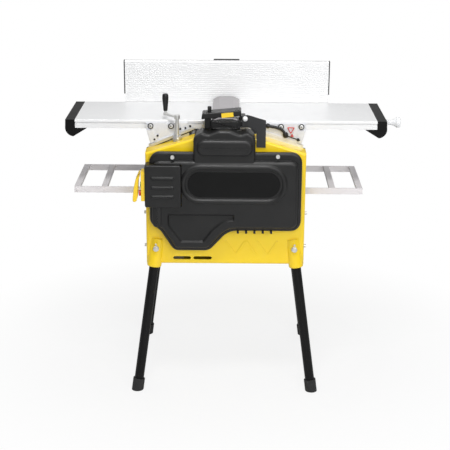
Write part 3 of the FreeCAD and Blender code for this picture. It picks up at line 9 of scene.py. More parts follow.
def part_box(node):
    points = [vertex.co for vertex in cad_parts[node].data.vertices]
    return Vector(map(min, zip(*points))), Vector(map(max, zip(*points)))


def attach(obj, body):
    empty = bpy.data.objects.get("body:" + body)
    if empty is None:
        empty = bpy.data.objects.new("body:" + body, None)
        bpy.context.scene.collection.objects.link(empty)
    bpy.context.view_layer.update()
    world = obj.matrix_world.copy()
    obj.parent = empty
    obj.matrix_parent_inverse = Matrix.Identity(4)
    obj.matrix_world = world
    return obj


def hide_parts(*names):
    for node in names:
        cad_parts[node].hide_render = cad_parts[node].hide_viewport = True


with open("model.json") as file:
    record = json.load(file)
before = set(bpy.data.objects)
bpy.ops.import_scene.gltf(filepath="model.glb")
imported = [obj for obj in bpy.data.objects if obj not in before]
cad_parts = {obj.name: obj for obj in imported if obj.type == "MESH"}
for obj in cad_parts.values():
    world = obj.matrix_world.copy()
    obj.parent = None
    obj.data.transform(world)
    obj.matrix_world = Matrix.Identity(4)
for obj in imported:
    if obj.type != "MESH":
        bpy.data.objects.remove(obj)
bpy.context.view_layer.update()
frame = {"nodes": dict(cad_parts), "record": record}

print("frame loaded:", len(frame["nodes"]), "nodes")

# The planer's own axes in millimetres: x from the middle of the tables, y from their near edge,
# z from the floor.
homeX = (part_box("outfeed_end_cap")[0].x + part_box("infeed_end_cap")[1].x) / 2
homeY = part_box("infeed_table")[0].y
mm = 0.001


def spot(x, y, z):
    return Vector((homeX + x * mm, homeY + y * mm, z * mm))


# shader maths


class Value:  # wraps an output socket, so that shader maths reads as plain sums
    def __init__(self, kit, socket):
        self.kit, self.socket = kit, socket

    def maths(self, operation, *values):
        return self.kit.node("ShaderNodeMath", dict(operation=operation), *values)

    def __add__(self, other):
        return self.maths("ADD", self, other)

    def __radd__(self, other):
        return self.maths("ADD", other, self)

    def __sub__(self, other):
        return self.maths("SUBTRACT", self, other)

    def __rsub__(self, other):
        return self.maths("SUBTRACT", other, self)

    def __mul__(self, other):
        return self.maths("MULTIPLY", self, other)

    def __rmul__(self, other):
        return self.maths("MULTIPLY", other, self)

    def over(self, low, high):  # 0 below low, 1 above high
        return self.kit.node("ShaderNodeMapRange", dict(clamp=True), self, low, high, 0.0, 1.0)


class Kit:  # one material, or the world, and the ways of adding nodes to it
    def __init__(self, name, owner=None):
        self.material = owner or bpy.data.materials.new(name)
        self.material.use_nodes = True
        self.tree = self.material.node_tree
        self.tree.nodes.clear()

    def node(self, kind, settings, *inputs, give=0, **named):
        made = self.tree.nodes.new(kind)
        for key, setting in settings.items():
            setattr(made, key, setting)
        for key, value in [*enumerate(inputs), *named.items()]:
            socket = made.inputs[key.replace("_", " ") if isinstance(key, str) else key]
            self.feed(socket, value)
        return Value(self, made.outputs[give]) if made.outputs else None

    def feed(self, socket, value):
        if isinstance(value, Value):
            self.tree.links.new(value.socket, socket)
        elif value is not None:
            if isinstance(value, tuple) and len(value) == 3 and socket.type == "RGBA":
                value = (*value, 1.0)
            socket.default_value = value

    def mixed(self, first, second, share):
        made = self.tree.nodes.new("ShaderNodeMix")
        made.data_type = "RGBA"
        for index, value in ((0, share), (6, first), (7, second)):
            self.feed(made.inputs[index], value)
        return Value(self, made.outputs[2])

    def place(self):
        return self.node("ShaderNodeTexCoord", {}, give=3)

    def stretched(self, x, y, z):
        return self.node("ShaderNodeVectorMath", dict(operation="MULTIPLY"), self.place(), (x, y, z))

    def noise(self, scale, detail=3.0, where=None):
        return self.node("ShaderNodeTexNoise", {}, Vector=where or self.place(), Scale=scale, Detail=detail)

    def cells(self, scale):
        return self.node("ShaderNodeTexVoronoi", {}, Vector=self.place(), Scale=scale)

    def edges(self, radius):  # the rounded normal, and a mask that is 1 on edges
        rounded = self.node("ShaderNodeBevel", dict(samples=4), Radius=radius)
        flat = self.node("ShaderNodeNewGeometry", {}, give=1)
        same = self.node("ShaderNodeVectorMath", dict(operation="DOT_PRODUCT"), rounded, flat, give=1)
        return rounded, (1.0 - same).over(0.01, 0.16)

    def bump(self, height, strength, distance, under=None):
        sockets = dict(Strength=strength, Distance=distance, Height=height, Normal=under)
        return self.node("ShaderNodeBump", {}, **sockets)

    def shade(self, **sockets):
        body = self.node("ShaderNodeBsdfPrincipled", {}, **sockets)
        self.node("ShaderNodeOutputMaterial", {}, body)
        return self.material


finishes = {}


def paint(name, colour, deep, roughness, coat, edge, specular=0.5):
    # powder coat: slow shade drift, fine orange peel, edges painted paler, partly as thin worn paint and partly
    # as painted highlight
    kit = Kit(name)
    rounded, rim = kit.edges(edge * mm)
    drift = kit.noise(7.0).over(0.35, 0.68)
    shade = kit.mixed(colour, deep, drift * 0.45)
    dust = kit.noise(900.0, 2.0).over(0.58, 0.8)
    # paler edges: partly wear, partly painted highlight; specks of dust add a little
    shade = kit.mixed(shade, tuple(min(1.0, c * 1.15 + 0.04) for c in colour), rim * 0.5 + dust * 0.05)
    peel = kit.bump(kit.noise(420.0, 2.0), 0.10, 0.0006, rounded)
    gloss = roughness + kit.noise(35.0) * 0.08
    finishes[name] = kit.shade(
        Base_Color=shade, Roughness=gloss, Coat_Weight=coat, Coat_Roughness=0.12,
        Specular_IOR_Level=specular, Normal=peel,
    )


def moulded(name, colour, pale, roughness, grain, depth, edge, specular=0.5):
    # moulded plastic: spark-eroded grain, soft sheen patches, edges painted paler, partly as rubbed wear and
    # partly as painted highlight
    kit = Kit(name)
    rounded, rim = kit.edges(edge * mm)
    patches = kit.noise(11.0).over(0.3, 0.72)
    speck = kit.noise(1500.0, 2.0).over(0.45, 0.75)
    # the edge mask paints the edges paler: partly rubbed wear, partly painted highlight
    shade = kit.mixed(colour, pale, patches * 0.22 + speck * 0.20 + rim * 0.45)
    relief = kit.bump(kit.cells(grain) + kit.noise(grain * 1.7, 2.0) * 0.6, 0.35, depth, rounded)
    finishes[name] = kit.shade(
        Base_Color=shade, Roughness=roughness + patches * 0.10, Specular_IOR_Level=specular, Normal=relief,
    )


def metal(name, colour, dark, roughness, metallic, run, edge, marks=0.25):
    # worked metal: fine lines along one way, cloudy stains, edges painted brighter, partly as worn metal and
    # partly as painted highlight
    kit = Kit(name)
    rounded, rim = kit.edges(edge * mm)
    lines = kit.noise(60.0, 3.0, kit.stretched(*run))
    cloud = kit.noise(14.0, 4.0).over(0.42, 0.75)
    shade = kit.mixed(colour, dark, lines * marks + cloud * 0.18)
    # brighter edges: partly worn metal, partly painted highlight
    shade = kit.mixed(shade, tuple(min(1.0, c * 1.25) for c in colour), rim * 0.6)
    relief = kit.bump(lines, 0.12, 0.0004, rounded)
    gloss = roughness + lines * 0.12 + cloud * 0.06
    finishes[name] = kit.shade(Base_Color=shade, Roughness=gloss, Metallic=metallic, Normal=relief)


def casting(name, colour, dark, roughness, metallic, lump, edge):
    # sand or die casting: lumpy skin, pores, cloudy patches of dirt
    kit = Kit(name)
    rounded, rim = kit.edges(edge * mm)
    skin = kit.noise(lump, 5.0)
    pores = kit.cells(lump * 5.0).over(0.02, 0.3)
    dirt = kit.noise(18.0, 4.0).over(0.5, 0.72)
    shade = kit.mixed(dark, colour, pores * 0.55 + skin * 0.5)
    shade = kit.mixed(shade, dark, dirt * 0.35)
    # paler edges: partly wear, partly painted highlight
    shade = kit.mixed(shade, tuple(min(1.0, c * 1.2) for c in colour), rim * 0.5)
    relief = kit.bump(skin + pores * 0.4, 0.4, 0.0012, rounded)
    gloss = roughness + skin * 0.2
    finishes[name] = kit.shade(Base_Color=shade, Roughness=gloss, Metallic=metallic, Normal=relief)


def rubberSkin(name, colour, pale):
    kit = Kit(name)
    rounded, rim = kit.edges(1.2 * mm)
    dust = kit.noise(90.0, 4.0).over(0.45, 0.75)
    relief = kit.bump(kit.noise(600.0, 3.0), 0.3, 0.0005, rounded)
    # paler edges: partly wear, partly painted highlight; dust is mixed in too
    shade = kit.mixed(colour, pale, dust * 0.35 + rim * 0.4)
    finishes[name] = kit.shade(Base_Color=shade, Roughness=0.72 + dust * 0.15, Normal=relief)


paint("yellow_paint", (0.96, 0.68, 0.010), (0.92, 0.58, 0.006), 0.26, 0.25, 1.4)
paint("grey_paint", (0.76, 0.73, 0.74), (0.68, 0.65, 0.66), 0.34, 0.15, 0.8)
paint("guard_paint", (0.33, 0.31, 0.32), (0.28, 0.265, 0.27), 0.36, 0.10, 0.8)
paint("black_paint", (0.006, 0.006, 0.006), (0.010, 0.010, 0.010), 0.34, 0.0, 0.8, 0.16)
moulded("black_plastic", (0.008, 0.008, 0.008), (0.026, 0.026, 0.026), 0.33, 900.0, 0.00012, 1.2, 0.36)
# a darker, less glossy copy of the black plastic for the end caps: painted shade, as they face the front
moulded("shaded_cap_plastic", (0.004, 0.004, 0.004), (0.011, 0.011, 0.011), 0.36, 900.0, 0.00012, 1.2, 0.14)
moulded("label_plastic", (0.0015, 0.0015, 0.0015), (0.004, 0.004, 0.004), 0.30, 1600.0, 0.00005, 0.5, 0.22)
moulded("red_plastic", (0.60, 0.022, 0.018), (0.72, 0.06, 0.05), 0.25, 1400.0, 0.00008, 0.6)
moulded("green_plastic", (0.03, 0.34, 0.08), (0.08, 0.45, 0.14), 0.25, 1400.0, 0.00008, 0.6)
moulded("yellow_plastic", (0.90, 0.60, 0.02), (0.96, 0.72, 0.08), 0.25, 1400.0, 0.00008, 0.8)
moulded("white_plastic", (0.78, 0.79, 0.80), (0.88, 0.88, 0.88), 0.22, 1400.0, 0.00006, 0.6)
metal("table_aluminium", (0.84, 0.84, 0.84), (0.74, 0.74, 0.75), 0.36, 0.15, (1.0, 26.0, 26.0), 0.6)
metal("steel", (0.66, 0.66, 0.67), (0.45, 0.45, 0.46), 0.24, 0.85, (26.0, 1.0, 26.0), 0.4)
metal("zinc", (0.70, 0.70, 0.69), (0.55, 0.54, 0.50), 0.30, 0.75, (6.0, 6.0, 6.0), 0.5)
metal("black_steel", (0.012, 0.012, 0.013), (0.035, 0.035, 0.037), 0.38, 0.20, (5.0, 5.0, 5.0), 0.8, 0.6)
casting("cast_aluminium", (0.78, 0.79, 0.82), (0.55, 0.55, 0.58), 0.40, 0.20, 140.0, 1.0)
casting("frame_iron", (0.20, 0.20, 0.21), (0.10, 0.10, 0.11), 0.55, 0.35, 90.0, 1.2)
rubberSkin("rubber", (0.012, 0.012, 0.012), (0.05, 0.05, 0.05))
rubberSkin("belt_rubber", (0.016, 0.016, 0.016), (0.04, 0.04, 0.042))
print("finishes made:", len(finishes))

slotOf = {row["node"]: row["material_slot"] for row in frame["record"]["subparts"]}
slotOf["bridge_guard"] = "guard_paint"
# the end caps take the darkened plastic that stands in for their shade
slotOf["infeed_end_cap"] = slotOf["outfeed_end_cap"] = "shaded_cap_plastic"
for node, made in frame["nodes"].items():
    if not made.material_slots:
        made.data.materials.append(None)
    for place in made.material_slots:
        place.material = finishes[slotOf[node]]


# meshes in the planer's own millimetres


def arcs(corners):
    # corners are (across, up, radius); the result is a closed run of points with round corners
    points = []
    for index, (across, up, radius) in enumerate(corners):
        here = Vector((across, up))
        before = Vector(corners[index - 1][:2]) - here
        after = Vector(corners[(index + 1) % len(corners)][:2]) - here
        turn = math.pi - before.angle(after)
        if radius <= 0 or turn < 0.02:
            points.append(here)
            continue
        reach = min(radius * math.tan(turn / 2), 0.49 * before.length, 0.49 * after.length)
        radius = reach / math.tan(turn / 2)
        middle = here + (before.normalized() + after.normalized()).normalized() * math.hypot(radius, reach)
        start, end = here + before.normalized() * reach - middle, here + after.normalized() * reach - middle
        steps = max(2, math.ceil(math.degrees(turn) / 11))
        begin = math.atan2(start.y, start.x)
        sweep = (math.atan2(end.y, end.x) - begin + math.pi) % (2 * math.pi) - math.pi
        for step in range(steps + 1):
            angle = begin + sweep * step / steps
            points.append(middle + Vector((math.cos(angle), math.sin(angle))) * radius)
    return points


def inset(points, distance):
    # each point moved in along the mitre of its two edges; points run anticlockwise
    moved = []
    for index, here in enumerate(points):
        before = (here - points[index - 1]).normalized()
        after = (points[(index + 1) % len(points)] - here).normalized()
        mitre = Vector((-(before.y + after.y), before.x + after.x)).normalized()
        share = max(0.5, mitre.dot(Vector((-before.y, before.x))))
        moved.append(here + mitre * distance / share)
    return moved


def swept(bm, outline, profile, caps=(True, True)):
    # profile is (inset, depth) pairs; each pair makes one ring of the outline
    rings = []
    for step, depth in profile:
        rings.append([bm.verts.new(spot(p.x, depth, p.y)) for p in inset(outline, step)])
    count = len(outline)
    for low, high in zip(rings, rings[1:]):
        for index in range(count):
            other = (index + 1) % count
            bm.faces.new((low[index], low[other], high[other], high[index]))
    for wanted, ring in zip(caps, (rings[0], rings[-1])):
        if wanted:
            bm.faces.new(ring)


def rounding(back, front, radius, first=0.0):
    # a wall from back to front whose front edge is round
    sign = 1 if back > front else -1
    steps = [(first, back)]
    for step in range(6):
        angle = math.pi / 2 * step / 5
        steps.append((first + radius * (1 - math.cos(angle)), front + sign * radius * (1 - math.sin(angle))))
    return steps


def pill(x0, x1, z0, z1):
    radius = min(x1 - x0, z1 - z0) / 2
    return arcs([(x0, z0, radius), (x1, z0, radius), (x1, z1, radius), (x0, z1, radius)])


def rectangle(x0, x1, z0, z1, radius=2.0):
    return arcs([(x0, z0, radius), (x1, z0, radius), (x1, z1, radius), (x0, z1, radius)])


def block(bm, xs, ys, zs, edge=1.0, turn=None, about=None):
    made = bmesh.ops.create_cube(bm, size=1.0)["verts"]
    low, high = spot(xs[0], ys[0], zs[0]), spot(xs[1], ys[1], zs[1])
    for vert in made:
        vert.co = Vector([(low[i] + high[i]) / 2 + vert.co[i] * (high[i] - low[i]) for i in range(3)])
    edges = list(dict.fromkeys(e for v in made for e in v.link_edges))  # each once, always in the same order
    if turn:
        centre = about or (low + high) / 2
        bmesh.ops.rotate(bm, verts=made, cent=centre, matrix=turn)
    if edge:
        bmesh.ops.bevel(bm, geom=edges, offset=edge * mm, segments=3, profile=0.5, affect="EDGES")


def turned(bm, start, way, profile, around=40):
    # profile is (radius, distance) pairs along the line from start
    way = Vector(way).normalized()
    side = way.orthogonal().normalized()
    other = way.cross(side)
    rings = []
    for radius, distance in profile:
        centre = start + way * distance * mm
        if radius == 0:
            rings.append([bm.verts.new(centre)] * around)
            continue
        ring = []
        for step in range(around):
            angle = 2 * math.pi * step / around
            ring.append(bm.verts.new(centre + (side * math.cos(angle) + other * math.sin(angle)) * radius * mm))
        rings.append(ring)
    for low, high in zip(rings, rings[1:]):
        for step in range(around):
            nextStep = (step + 1) % around
            corners = [low[step], low[nextStep], high[nextStep], high[step]]
            corners = [v for i, v in enumerate(corners) if v not in corners[:i]]
            if len(corners) > 2:
                bm.faces.new(corners)
    for ring in (rings[0], rings[-1]):
        if len(set(ring)) > 2:
            bm.faces.new(ring)


def rod(bm, points, radius, around=16):
    # a round bar that follows the points
    path = [spot(*p) for p in points]
    rings = []
    side = None
    for index, here in enumerate(path):
        way = (path[min(index + 1, len(path) - 1)] - path[max(index - 1, 0)]).normalized()
        side = way.orthogonal().normalized() if side is None else (side - way * side.dot(way)).normalized()
        other = way.cross(side)
        ring = []
        for step in range(around):
            angle = 2 * math.pi * step / around
            ring.append(bm.verts.new(here + (side * math.cos(angle) + other * math.sin(angle)) * radius * mm))
        rings.append(ring)
    for low, high in zip(rings, rings[1:]):
        for step in range(around):
            nextStep = (step + 1) % around
            bm.faces.new((low[step], low[nextStep], high[nextStep], high[step]))
    bm.faces.new(rings[0])
    bm.faces.new(rings[-1])


def finished(bm, name, finish, body, stands=(), crease=32.0):
    bmesh.ops.recalc_face_normals(bm, faces=bm.faces)
    mesh = bpy.data.meshes.new(name)
    bm.to_mesh(mesh)
    bm.free()
    piece = bpy.data.objects.new(name, mesh)
    bpy.context.scene.collection.objects.link(piece)
    return dressed(piece, finish, body, stands, crease)


def dressed(piece, finish, body, stands=(), crease=32.0):
    mesh = piece.data
    mesh.materials.clear()
    mesh.materials.append(finishes[finish])
    mesh.shade_smooth()
    mesh.set_sharp_from_angle(angle=math.radians(crease))
    even = piece.modifiers.new("evenNormals", "WEIGHTED_NORMAL")
    even.keep_sharp = True
    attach(piece, body)
    if stands:
        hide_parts(*stands)
    return piece


def joined(bm, other):
    mesh = bpy.data.meshes.new("joining")
    other.to_mesh(mesh)
    other.free()
    bm.from_mesh(mesh)
    bpy.data.meshes.remove(mesh)


def carved(bm, tools, edge):
    # cuts the tool shapes out of the shape and rounds the new edges
    things = []
    for part in (bm, *tools):
        bmesh.ops.recalc_face_normals(part, faces=part.faces)
        mesh = bpy.data.meshes.new("rough")
        part.to_mesh(mesh)
        part.free()
        thing = bpy.data.objects.new("rough", mesh)
        bpy.context.scene.collection.objects.link(thing)
        things.append(thing)
    shape = things[0]
    for tool in things[1:]:
        cut = shape.modifiers.new("cut", "BOOLEAN")
        cut.operation, cut.solver, cut.object = "DIFFERENCE", "EXACT", tool
    soft = shape.modifiers.new("soft", "BEVEL")
    soft.width, soft.segments, soft.limit_method, soft.angle_limit = edge * mm, 3, "ANGLE", math.radians(50)
    bpy.context.view_layer.update()
    ready = shape.evaluated_get(bpy.context.evaluated_depsgraph_get())
    result = bmesh.new()
    result.from_mesh(ready.to_mesh())
    ready.to_mesh_clear()
    for thing in things:
        bpy.data.objects.remove(thing)
    return result


# drive cover

cover = dict(
    front=-125.0, back=-98.0, hoodBack=-46.0, hollow=18, newEdge=1.6,
    bodyCorners=[
        (-236, 565, 34), (-203, 540, 26), (-161, 475, 26), (-50, 475, 34), (10, 541, 60), (236, 541, 32),
        (236, 795, 34), (-236, 795, 34),
    ],
    domeCorners=[
        (-99, 742, 0), (91, 742, 0), (91, 846, 26), (68, 860, 14), (45, 853, 16), (14, 865, 26), (-21, 865, 26),
        (-50, 853, 16), (-73, 860, 14), (-99, 846, 26),
    ],
    domeFront=-123.0, domeRadius=9,
    flangeStep=15, flangeRadius=7, groove=[(9.5, 14.7), (11.0, 15.6)],  # steps back from the front
    faceTop=782, faceInset=11.8, faceRadius=12,
    pocketCorners=[
        (-139, 507, 8), (-68, 507, 6), (-40, 545, 50), (-5, 575, 50), (28, 579, 4), (28, 600, 5),
        (-180, 600, 6), (-180, 562, 16),
    ],
    pocketDepth=7.0,
    pillPanel=(-89, 84, 787, 838),
    pillProfile=[(0, 0), (0.8, 3.6), (2.6, 6.6), (5.4, 8.8), (9, 9.8), (13, 9.6), (16, 9.0)],  # inset, rise
    ovalRing=(-140, 192, 633, 761),
    ovalProfile=[(0, 0), (1.5, 2), (4, 5.2), (8, 6.8), (12, 6.4), (15.5, 4), (17.6, 0.4), (18.4, -1)],
    ovalPlate=(-117, 169, 656, 738), plateRise=2.2,
    screws=[(-163, 781), (160, 785)], wellRadius=9, wellDepth=20,
    boxRoom=(-262, -135.5, 624.5, 759.5),
)


def coverTools():
    # pocket, screw wells, room for the vent box, and the hollow behind
    front, back, depth = cover["front"], cover["back"], cover["pocketDepth"]
    pocket, room, inside = bmesh.new(), bmesh.new(), bmesh.new()
    swept(pocket, arcs(cover["pocketCorners"]), [(-3, front - 3), (0, front), (depth * 0.75, front + depth)])
    x0, x1, z0, z1 = cover["boxRoom"]
    block(room, (x0, x1), (front - 20, back + 6), (z0, z1), 0)
    hollow = cover["hollow"]
    swept(inside, arcs(cover["bodyCorners"]), [(hollow, back + 3), (hollow, front + hollow)])
    wells = []
    for x, z in cover["screws"]:
        for drop, trim in ((0, 0), (8, 1)):  # two bores make an upright slot
            well = bmesh.new()
            radius, depth = cover["wellRadius"] - trim, cover["wellDepth"] + trim
            turned(well, spot(x, front - 6, z - drop), (0, 1, 0), [(radius, 0), (radius, depth)])
            wells.append(well)
    return [pocket, room, inside, *wells]


def raised(profile, base):  # (inset, rise) pairs turned into (inset, depth)
    return [(step, base - rise) for step, rise in profile]


def makeDriveCover():
    front, back, hoodBack = cover["front"], cover["back"], cover["hoodBack"]
    flange, face = bmesh.new(), bmesh.new()
    rim = rounding(back, front + cover["flangeStep"], cover["flangeRadius"])
    swept(flange, arcs(cover["bodyCorners"]), rim + [(step, front + depth) for step, depth in cover["groove"]])
    faceCorners = [(x, min(z, cover["faceTop"]), radius) for x, z, radius in cover["bodyCorners"]]
    swept(face, arcs(faceCorners), rounding(front + 17, front, cover["faceRadius"], cover["faceInset"]))
    body = carved(flange, coverTools(), cover["newEdge"])
    joined(body, carved(face, coverTools(), cover["newEdge"]))
    # dome, its pill-shaped panel and the oval ring stand on the body
    dome = arcs(cover["domeCorners"])
    swept(body, dome, rounding(back, cover["domeFront"], cover["domeRadius"]), caps=(False, True))
    swept(body, dome, [(1.5, hoodBack), (1.0, back - 1)], caps=(False, False))
    swept(body, dome, [(5.5, hoodBack), (5.5, back + 2)], caps=(False, False))
    swept(body, dome, [(1.5, hoodBack), (5.5, hoodBack)], caps=(False, False))
    panel = raised(cover["pillProfile"], cover["domeFront"] + 1)
    swept(body, pill(*cover["pillPanel"]), panel, caps=(False, True))
    swept(body, pill(*cover["ovalRing"]), raised(cover["ovalProfile"], front + 1), caps=(False, False))
    finished(body, "driveCover", "black_plastic", "body", stands=("drive_cover",))
    plate = bmesh.new()
    swept(plate, pill(*cover["ovalPlate"]), rounding(front + 1, front - cover["plateRise"], 1.2))
    finished(plate, "coverPlate", "label_plastic", "body")


makeDriveCover()

vents = dict(
    box=(-249, -137, 624, 758), front=-140.0, back=-88.0, proud=4.4,
    bars=(659, 688, 718), barSpan=(-230, -158), barHeight=10.0,
    barCrown=[(1.0, -1.6), (2.2, -0.5), (3.6, 0), (4.6, 0)],  # inset, rise
    base=(-261, -246, 642, 737), baseSpan=(-128, -90), wells=((664, 9.5), (692, 8.5)), wellY=-109.0,
    bulge=(-227, -197, 556, 640), bulgeProfile=[(0, -12), (0.5, 0), (2.5, 3), (6, 5.2), (10, 6), (13, 6.2)],
)


def makeVentBox():
    bm = bmesh.new()
    x0, x1, z0, z1 = vents["box"]
    front = vents["front"]
    plain = front + vents["proud"]
    swept(bm, rectangle(x0, x1, z0, z1, 6), rounding(vents["back"], plain, 4))
    for z in vents["bars"]:
        half = vents["barHeight"] / 2
        bar = pill(*vents["barSpan"], z - half, z + half)
        crown = [(-0.6, plain + 0.2), (0, plain - 0.6), *raised(vents["barCrown"], front)]
        swept(bm, bar, crown, caps=(False, True))
    x0, x1, z0, z1 = vents["bulge"]
    swept(bm, pill(x0, x1, z0, z1), raised(vents["bulgeProfile"], cover["front"] + 1), caps=(False, True))
    side = bmesh.new()
    x0, x1, z0, z1 = vents["base"]
    block(side, (x0, x1), vents["baseSpan"], (z0, z1), 2.2)
    tools = []
    for z, radius in vents["wells"]:
        well = bmesh.new()
        turned(well, spot(x0 - 3, vents["wellY"], z), (1, 0, 0), [(radius, 0), (radius, 13)])
        tools.append(well)
    finished(carved(side, tools, 0.6), "switchBase", "yellow_plastic", "body")
    finished(bm, "ventBox", "black_plastic", "body", stands=("switch_box",))


makeVentBox()

flap = dict(span=(-90, -128), corners=[
    (-263.5, 733, 1), (-268, 731.5, 4), (-277, 712, 30), (-283, 685, 60), (-286.5, 655, 20),
    (-287, 642, 3), (-282, 638.5, 3), (-275, 642, 3), (-271.5, 655, 20), (-270.5, 680, 40),
    (-268.5, 706, 30), (-265, 718, 4),
])


def turnsLeft(outline):
    return sum(a.cross(b) for a, b in zip(outline, outline[1:] + outline[:1])) > 0


def makeFlap():
    bm = bmesh.new()
    back, front = flap["span"]
    middle = (back + front) / 2
    outline = arcs(list(reversed(flap["corners"])))
    outline = outline if turnsLeft(outline) else list(reversed(outline))
    swept(bm, outline, rounding(middle, front, 2.4), caps=(False, True))
    swept(bm, outline, rounding(middle, back, 2.4), caps=(False, True))
    finished(bm, "stopFlap", "yellow_plastic", "stop_flap", stands=("stop_flap",))


makeFlap()
print("covers made")

# fence

fence = dict(ends=(-339.5, 339.5), face=270.0, back=293.0, low=871.0, high=1009.0, pitch=6.6, rib=0.9)


def makeFence():
    # an extruded board with a ribbed face and a plain back
    low, high, face, back = fence["low"], fence["high"], fence["face"], fence["back"]
    points = [Vector((back, low)), Vector((back, high - 2)), Vector((back - 2, high)), Vector((face + 2, high))]
    pitch, floor = fence["pitch"], face + fence["rib"]
    for index in range(int((high - low - 6) / pitch)):
        z = high - 3 - index * pitch
        points += [Vector((face, z)), Vector((face, z - pitch * 0.70))]
        points += [Vector((floor, z - pitch * 0.78)), Vector((floor, z - pitch * 0.94))]
    points += [Vector((face, low + 2)), Vector((face + 2, low))]
    x0, x1 = fence["ends"]
    bm = bmesh.new()
    rings = [[bm.verts.new(spot(x, p.x, p.y)) for p in points] for x in (x0, x1)]
    for index in range(len(points)):
        other = (index + 1) % len(points)
        bm.faces.new((rings[0][index], rings[0][other], rings[1][other], rings[1][index]))
    for ring in rings:
        bm.faces.new(ring)
    finished(bm, "fenceBoard", "table_aluminium", "fence", stands=("fence",), crease=20)


makeFence()

# crank grip and depth knob

grip = dict(length=55, profile=[
    (0, 0), (5.2, 0), (6.4, 1.2), (6.8, 5), (7.6, 14), (8.8, 26), (9.7, 37), (9.9, 44), (9.5, 49.5),
    (8.2, 53.2), (5.5, 54.8), (0, 55),
])


def makeGrip():
    low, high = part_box("crank_grip")
    bm = bmesh.new()
    foot = Vector(((low.x + high.x) / 2, (low.y + high.y) / 2, low.z))
    scale = (high.z - low.z) / (grip["length"] * mm)
    turned(bm, foot, (0, 0, 1), [(radius, z * scale) for radius, z in grip["profile"]])
    finished(bm, "crankGrip", "black_plastic", "crank_grip", stands=("crank_grip",))


makeGrip()

knob = dict(profile=[
    (0, 0), (9.5, 0), (10.2, 1.2), (10.2, 5), (8.2, 8), (7.6, 12), (8.0, 17), (10.0, 24), (12.8, 30),
    (14.4, 33), (16.3, 34.5), (16.5, 36), (16.5, 43), (15.6, 45.2), (13.0, 46), (11.5, 45.2), (0, 44.8),
])


def makeDepthKnob():
    low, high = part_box("depth_knob")
    bm = bmesh.new()
    foot = Vector((low.x, (low.y + high.y) / 2, (low.z + high.z) / 2))
    turned(bm, foot, (1, 0, 0), knob["profile"], 48)
    finished(bm, "depthKnob", "white_plastic", "depth_adjuster", stands=("depth_knob",))


makeDepthKnob()
print("fence and handles made")

# bridge guard's holder

holder = dict(
    plate=[(-76, 887.5, 3), (47, 900, 3), (47, 916.5, 4), (-73, 905.5, 4)], plateDepth=(-16, -66),
    ribs=(-70, -62, 28, 36), ribWidth=3.2, posts=(-26, 24),
    legs=((-66, -46, 857), (41, 60, 866)), legDepth=(-60, -22),
    ear=(40, 64, 866, 886), earHole=(52.5, 874.5),
    label=(-14, 23, 895.2, 909.2), labelMiddle=902.2, slope=(12.5, 123),  # rise and run of the plate
    block=(-43, 37, 861, 884.5), blockDepth=(-72.0, -79), backing=(-46, 44, 858, 888),
    sunkFace=[(1.5, 0), (2.6, 0), (3.2, 1.0), (3.8, 1.1)],  # inset, sink
    post=(-51, -40), screwProfile=[
        (0, 0), (5.6, 0), (6.1, 1), (6.1, 12), (5.0, 13), (5.0, 15), (6.2, 16), (6.2, 30), (5.6, 32.2),
        (4.4, 33), (0, 33),
    ],
    pinProfile=[(0, 0), (3.6, 0), (3.6, 1.2), (3.0, 1.8), (0, 1.8)], ball=8.0, neck=4.2,
)


def makeHolder():
    bm = bmesh.new()
    back, front = holder["plateDepth"]
    swept(bm, arcs(holder["plate"]), rounding(back, front, 2.5))
    for x0, x1, foot in holder["legs"]:
        block(bm, (x0, x1), holder["legDepth"], (foot, 899), 2.0)
    y = holder["post"][1] + 5
    for left in holder["posts"]:
        turned(bm, spot(left, y, 800), (0, 0, 1), [(5, 0), (5, 70)])
    block(bm, (-44, 42), (-56, -20), (868, 877.5), 1.5)
    ear, hole = bmesh.new(), bmesh.new()
    x0, x1, z0, z1 = holder["ear"]
    block(ear, (x0, x1), (-70, -58), (z0, z1), 3)
    across, up = holder["earHole"]
    turned(hole, spot(across, -75, up), (0, 1, 0), [(3.4, 0), (3.4, 30)])
    joined(bm, carved(ear, [hole], 0.6))
    for x0 in holder["ribs"]:  # across the plate's top, which slopes
        low = 906.2 + (x0 + 73) * 11 / 120
        block(bm, (x0, x0 + holder["ribWidth"]), (front + 4, back - 4), (low - 2, low + 1.2), 0.8)
    finished(bm, "guardHolder", "black_plastic", "guard_carrier", stands=("guard_carrier",))
    label = bmesh.new()
    x0, x1, z0, z1 = holder["label"]
    slope = Matrix.Rotation(-math.atan2(*holder["slope"]), 3, "Y")
    middle = spot((x0 + x1) / 2, front, holder["labelMiddle"])
    block(label, (x0, x1), (front - 0.7, front + 1), (z0, z1), 0.3, slope, middle)
    finished(label, "plainLabel", "yellow_plastic", "guard_carrier")


def makeGuardEnd():  # end block of the guard, with its sunk face
    bm = bmesh.new()
    outline = rectangle(*holder["block"], 2.5)
    back, front = holder["blockDepth"]
    swept(bm, outline, rounding(back, front, 1.5), caps=(True, False))
    swept(bm, outline, [(step, front + sink) for step, sink in holder["sunkFace"]], caps=(False, True))
    swept(bm, rectangle(*holder["backing"], 3), rounding(back + 3, back, 1.0))
    finished(bm, "guardEndBlock", "black_plastic", "guard")


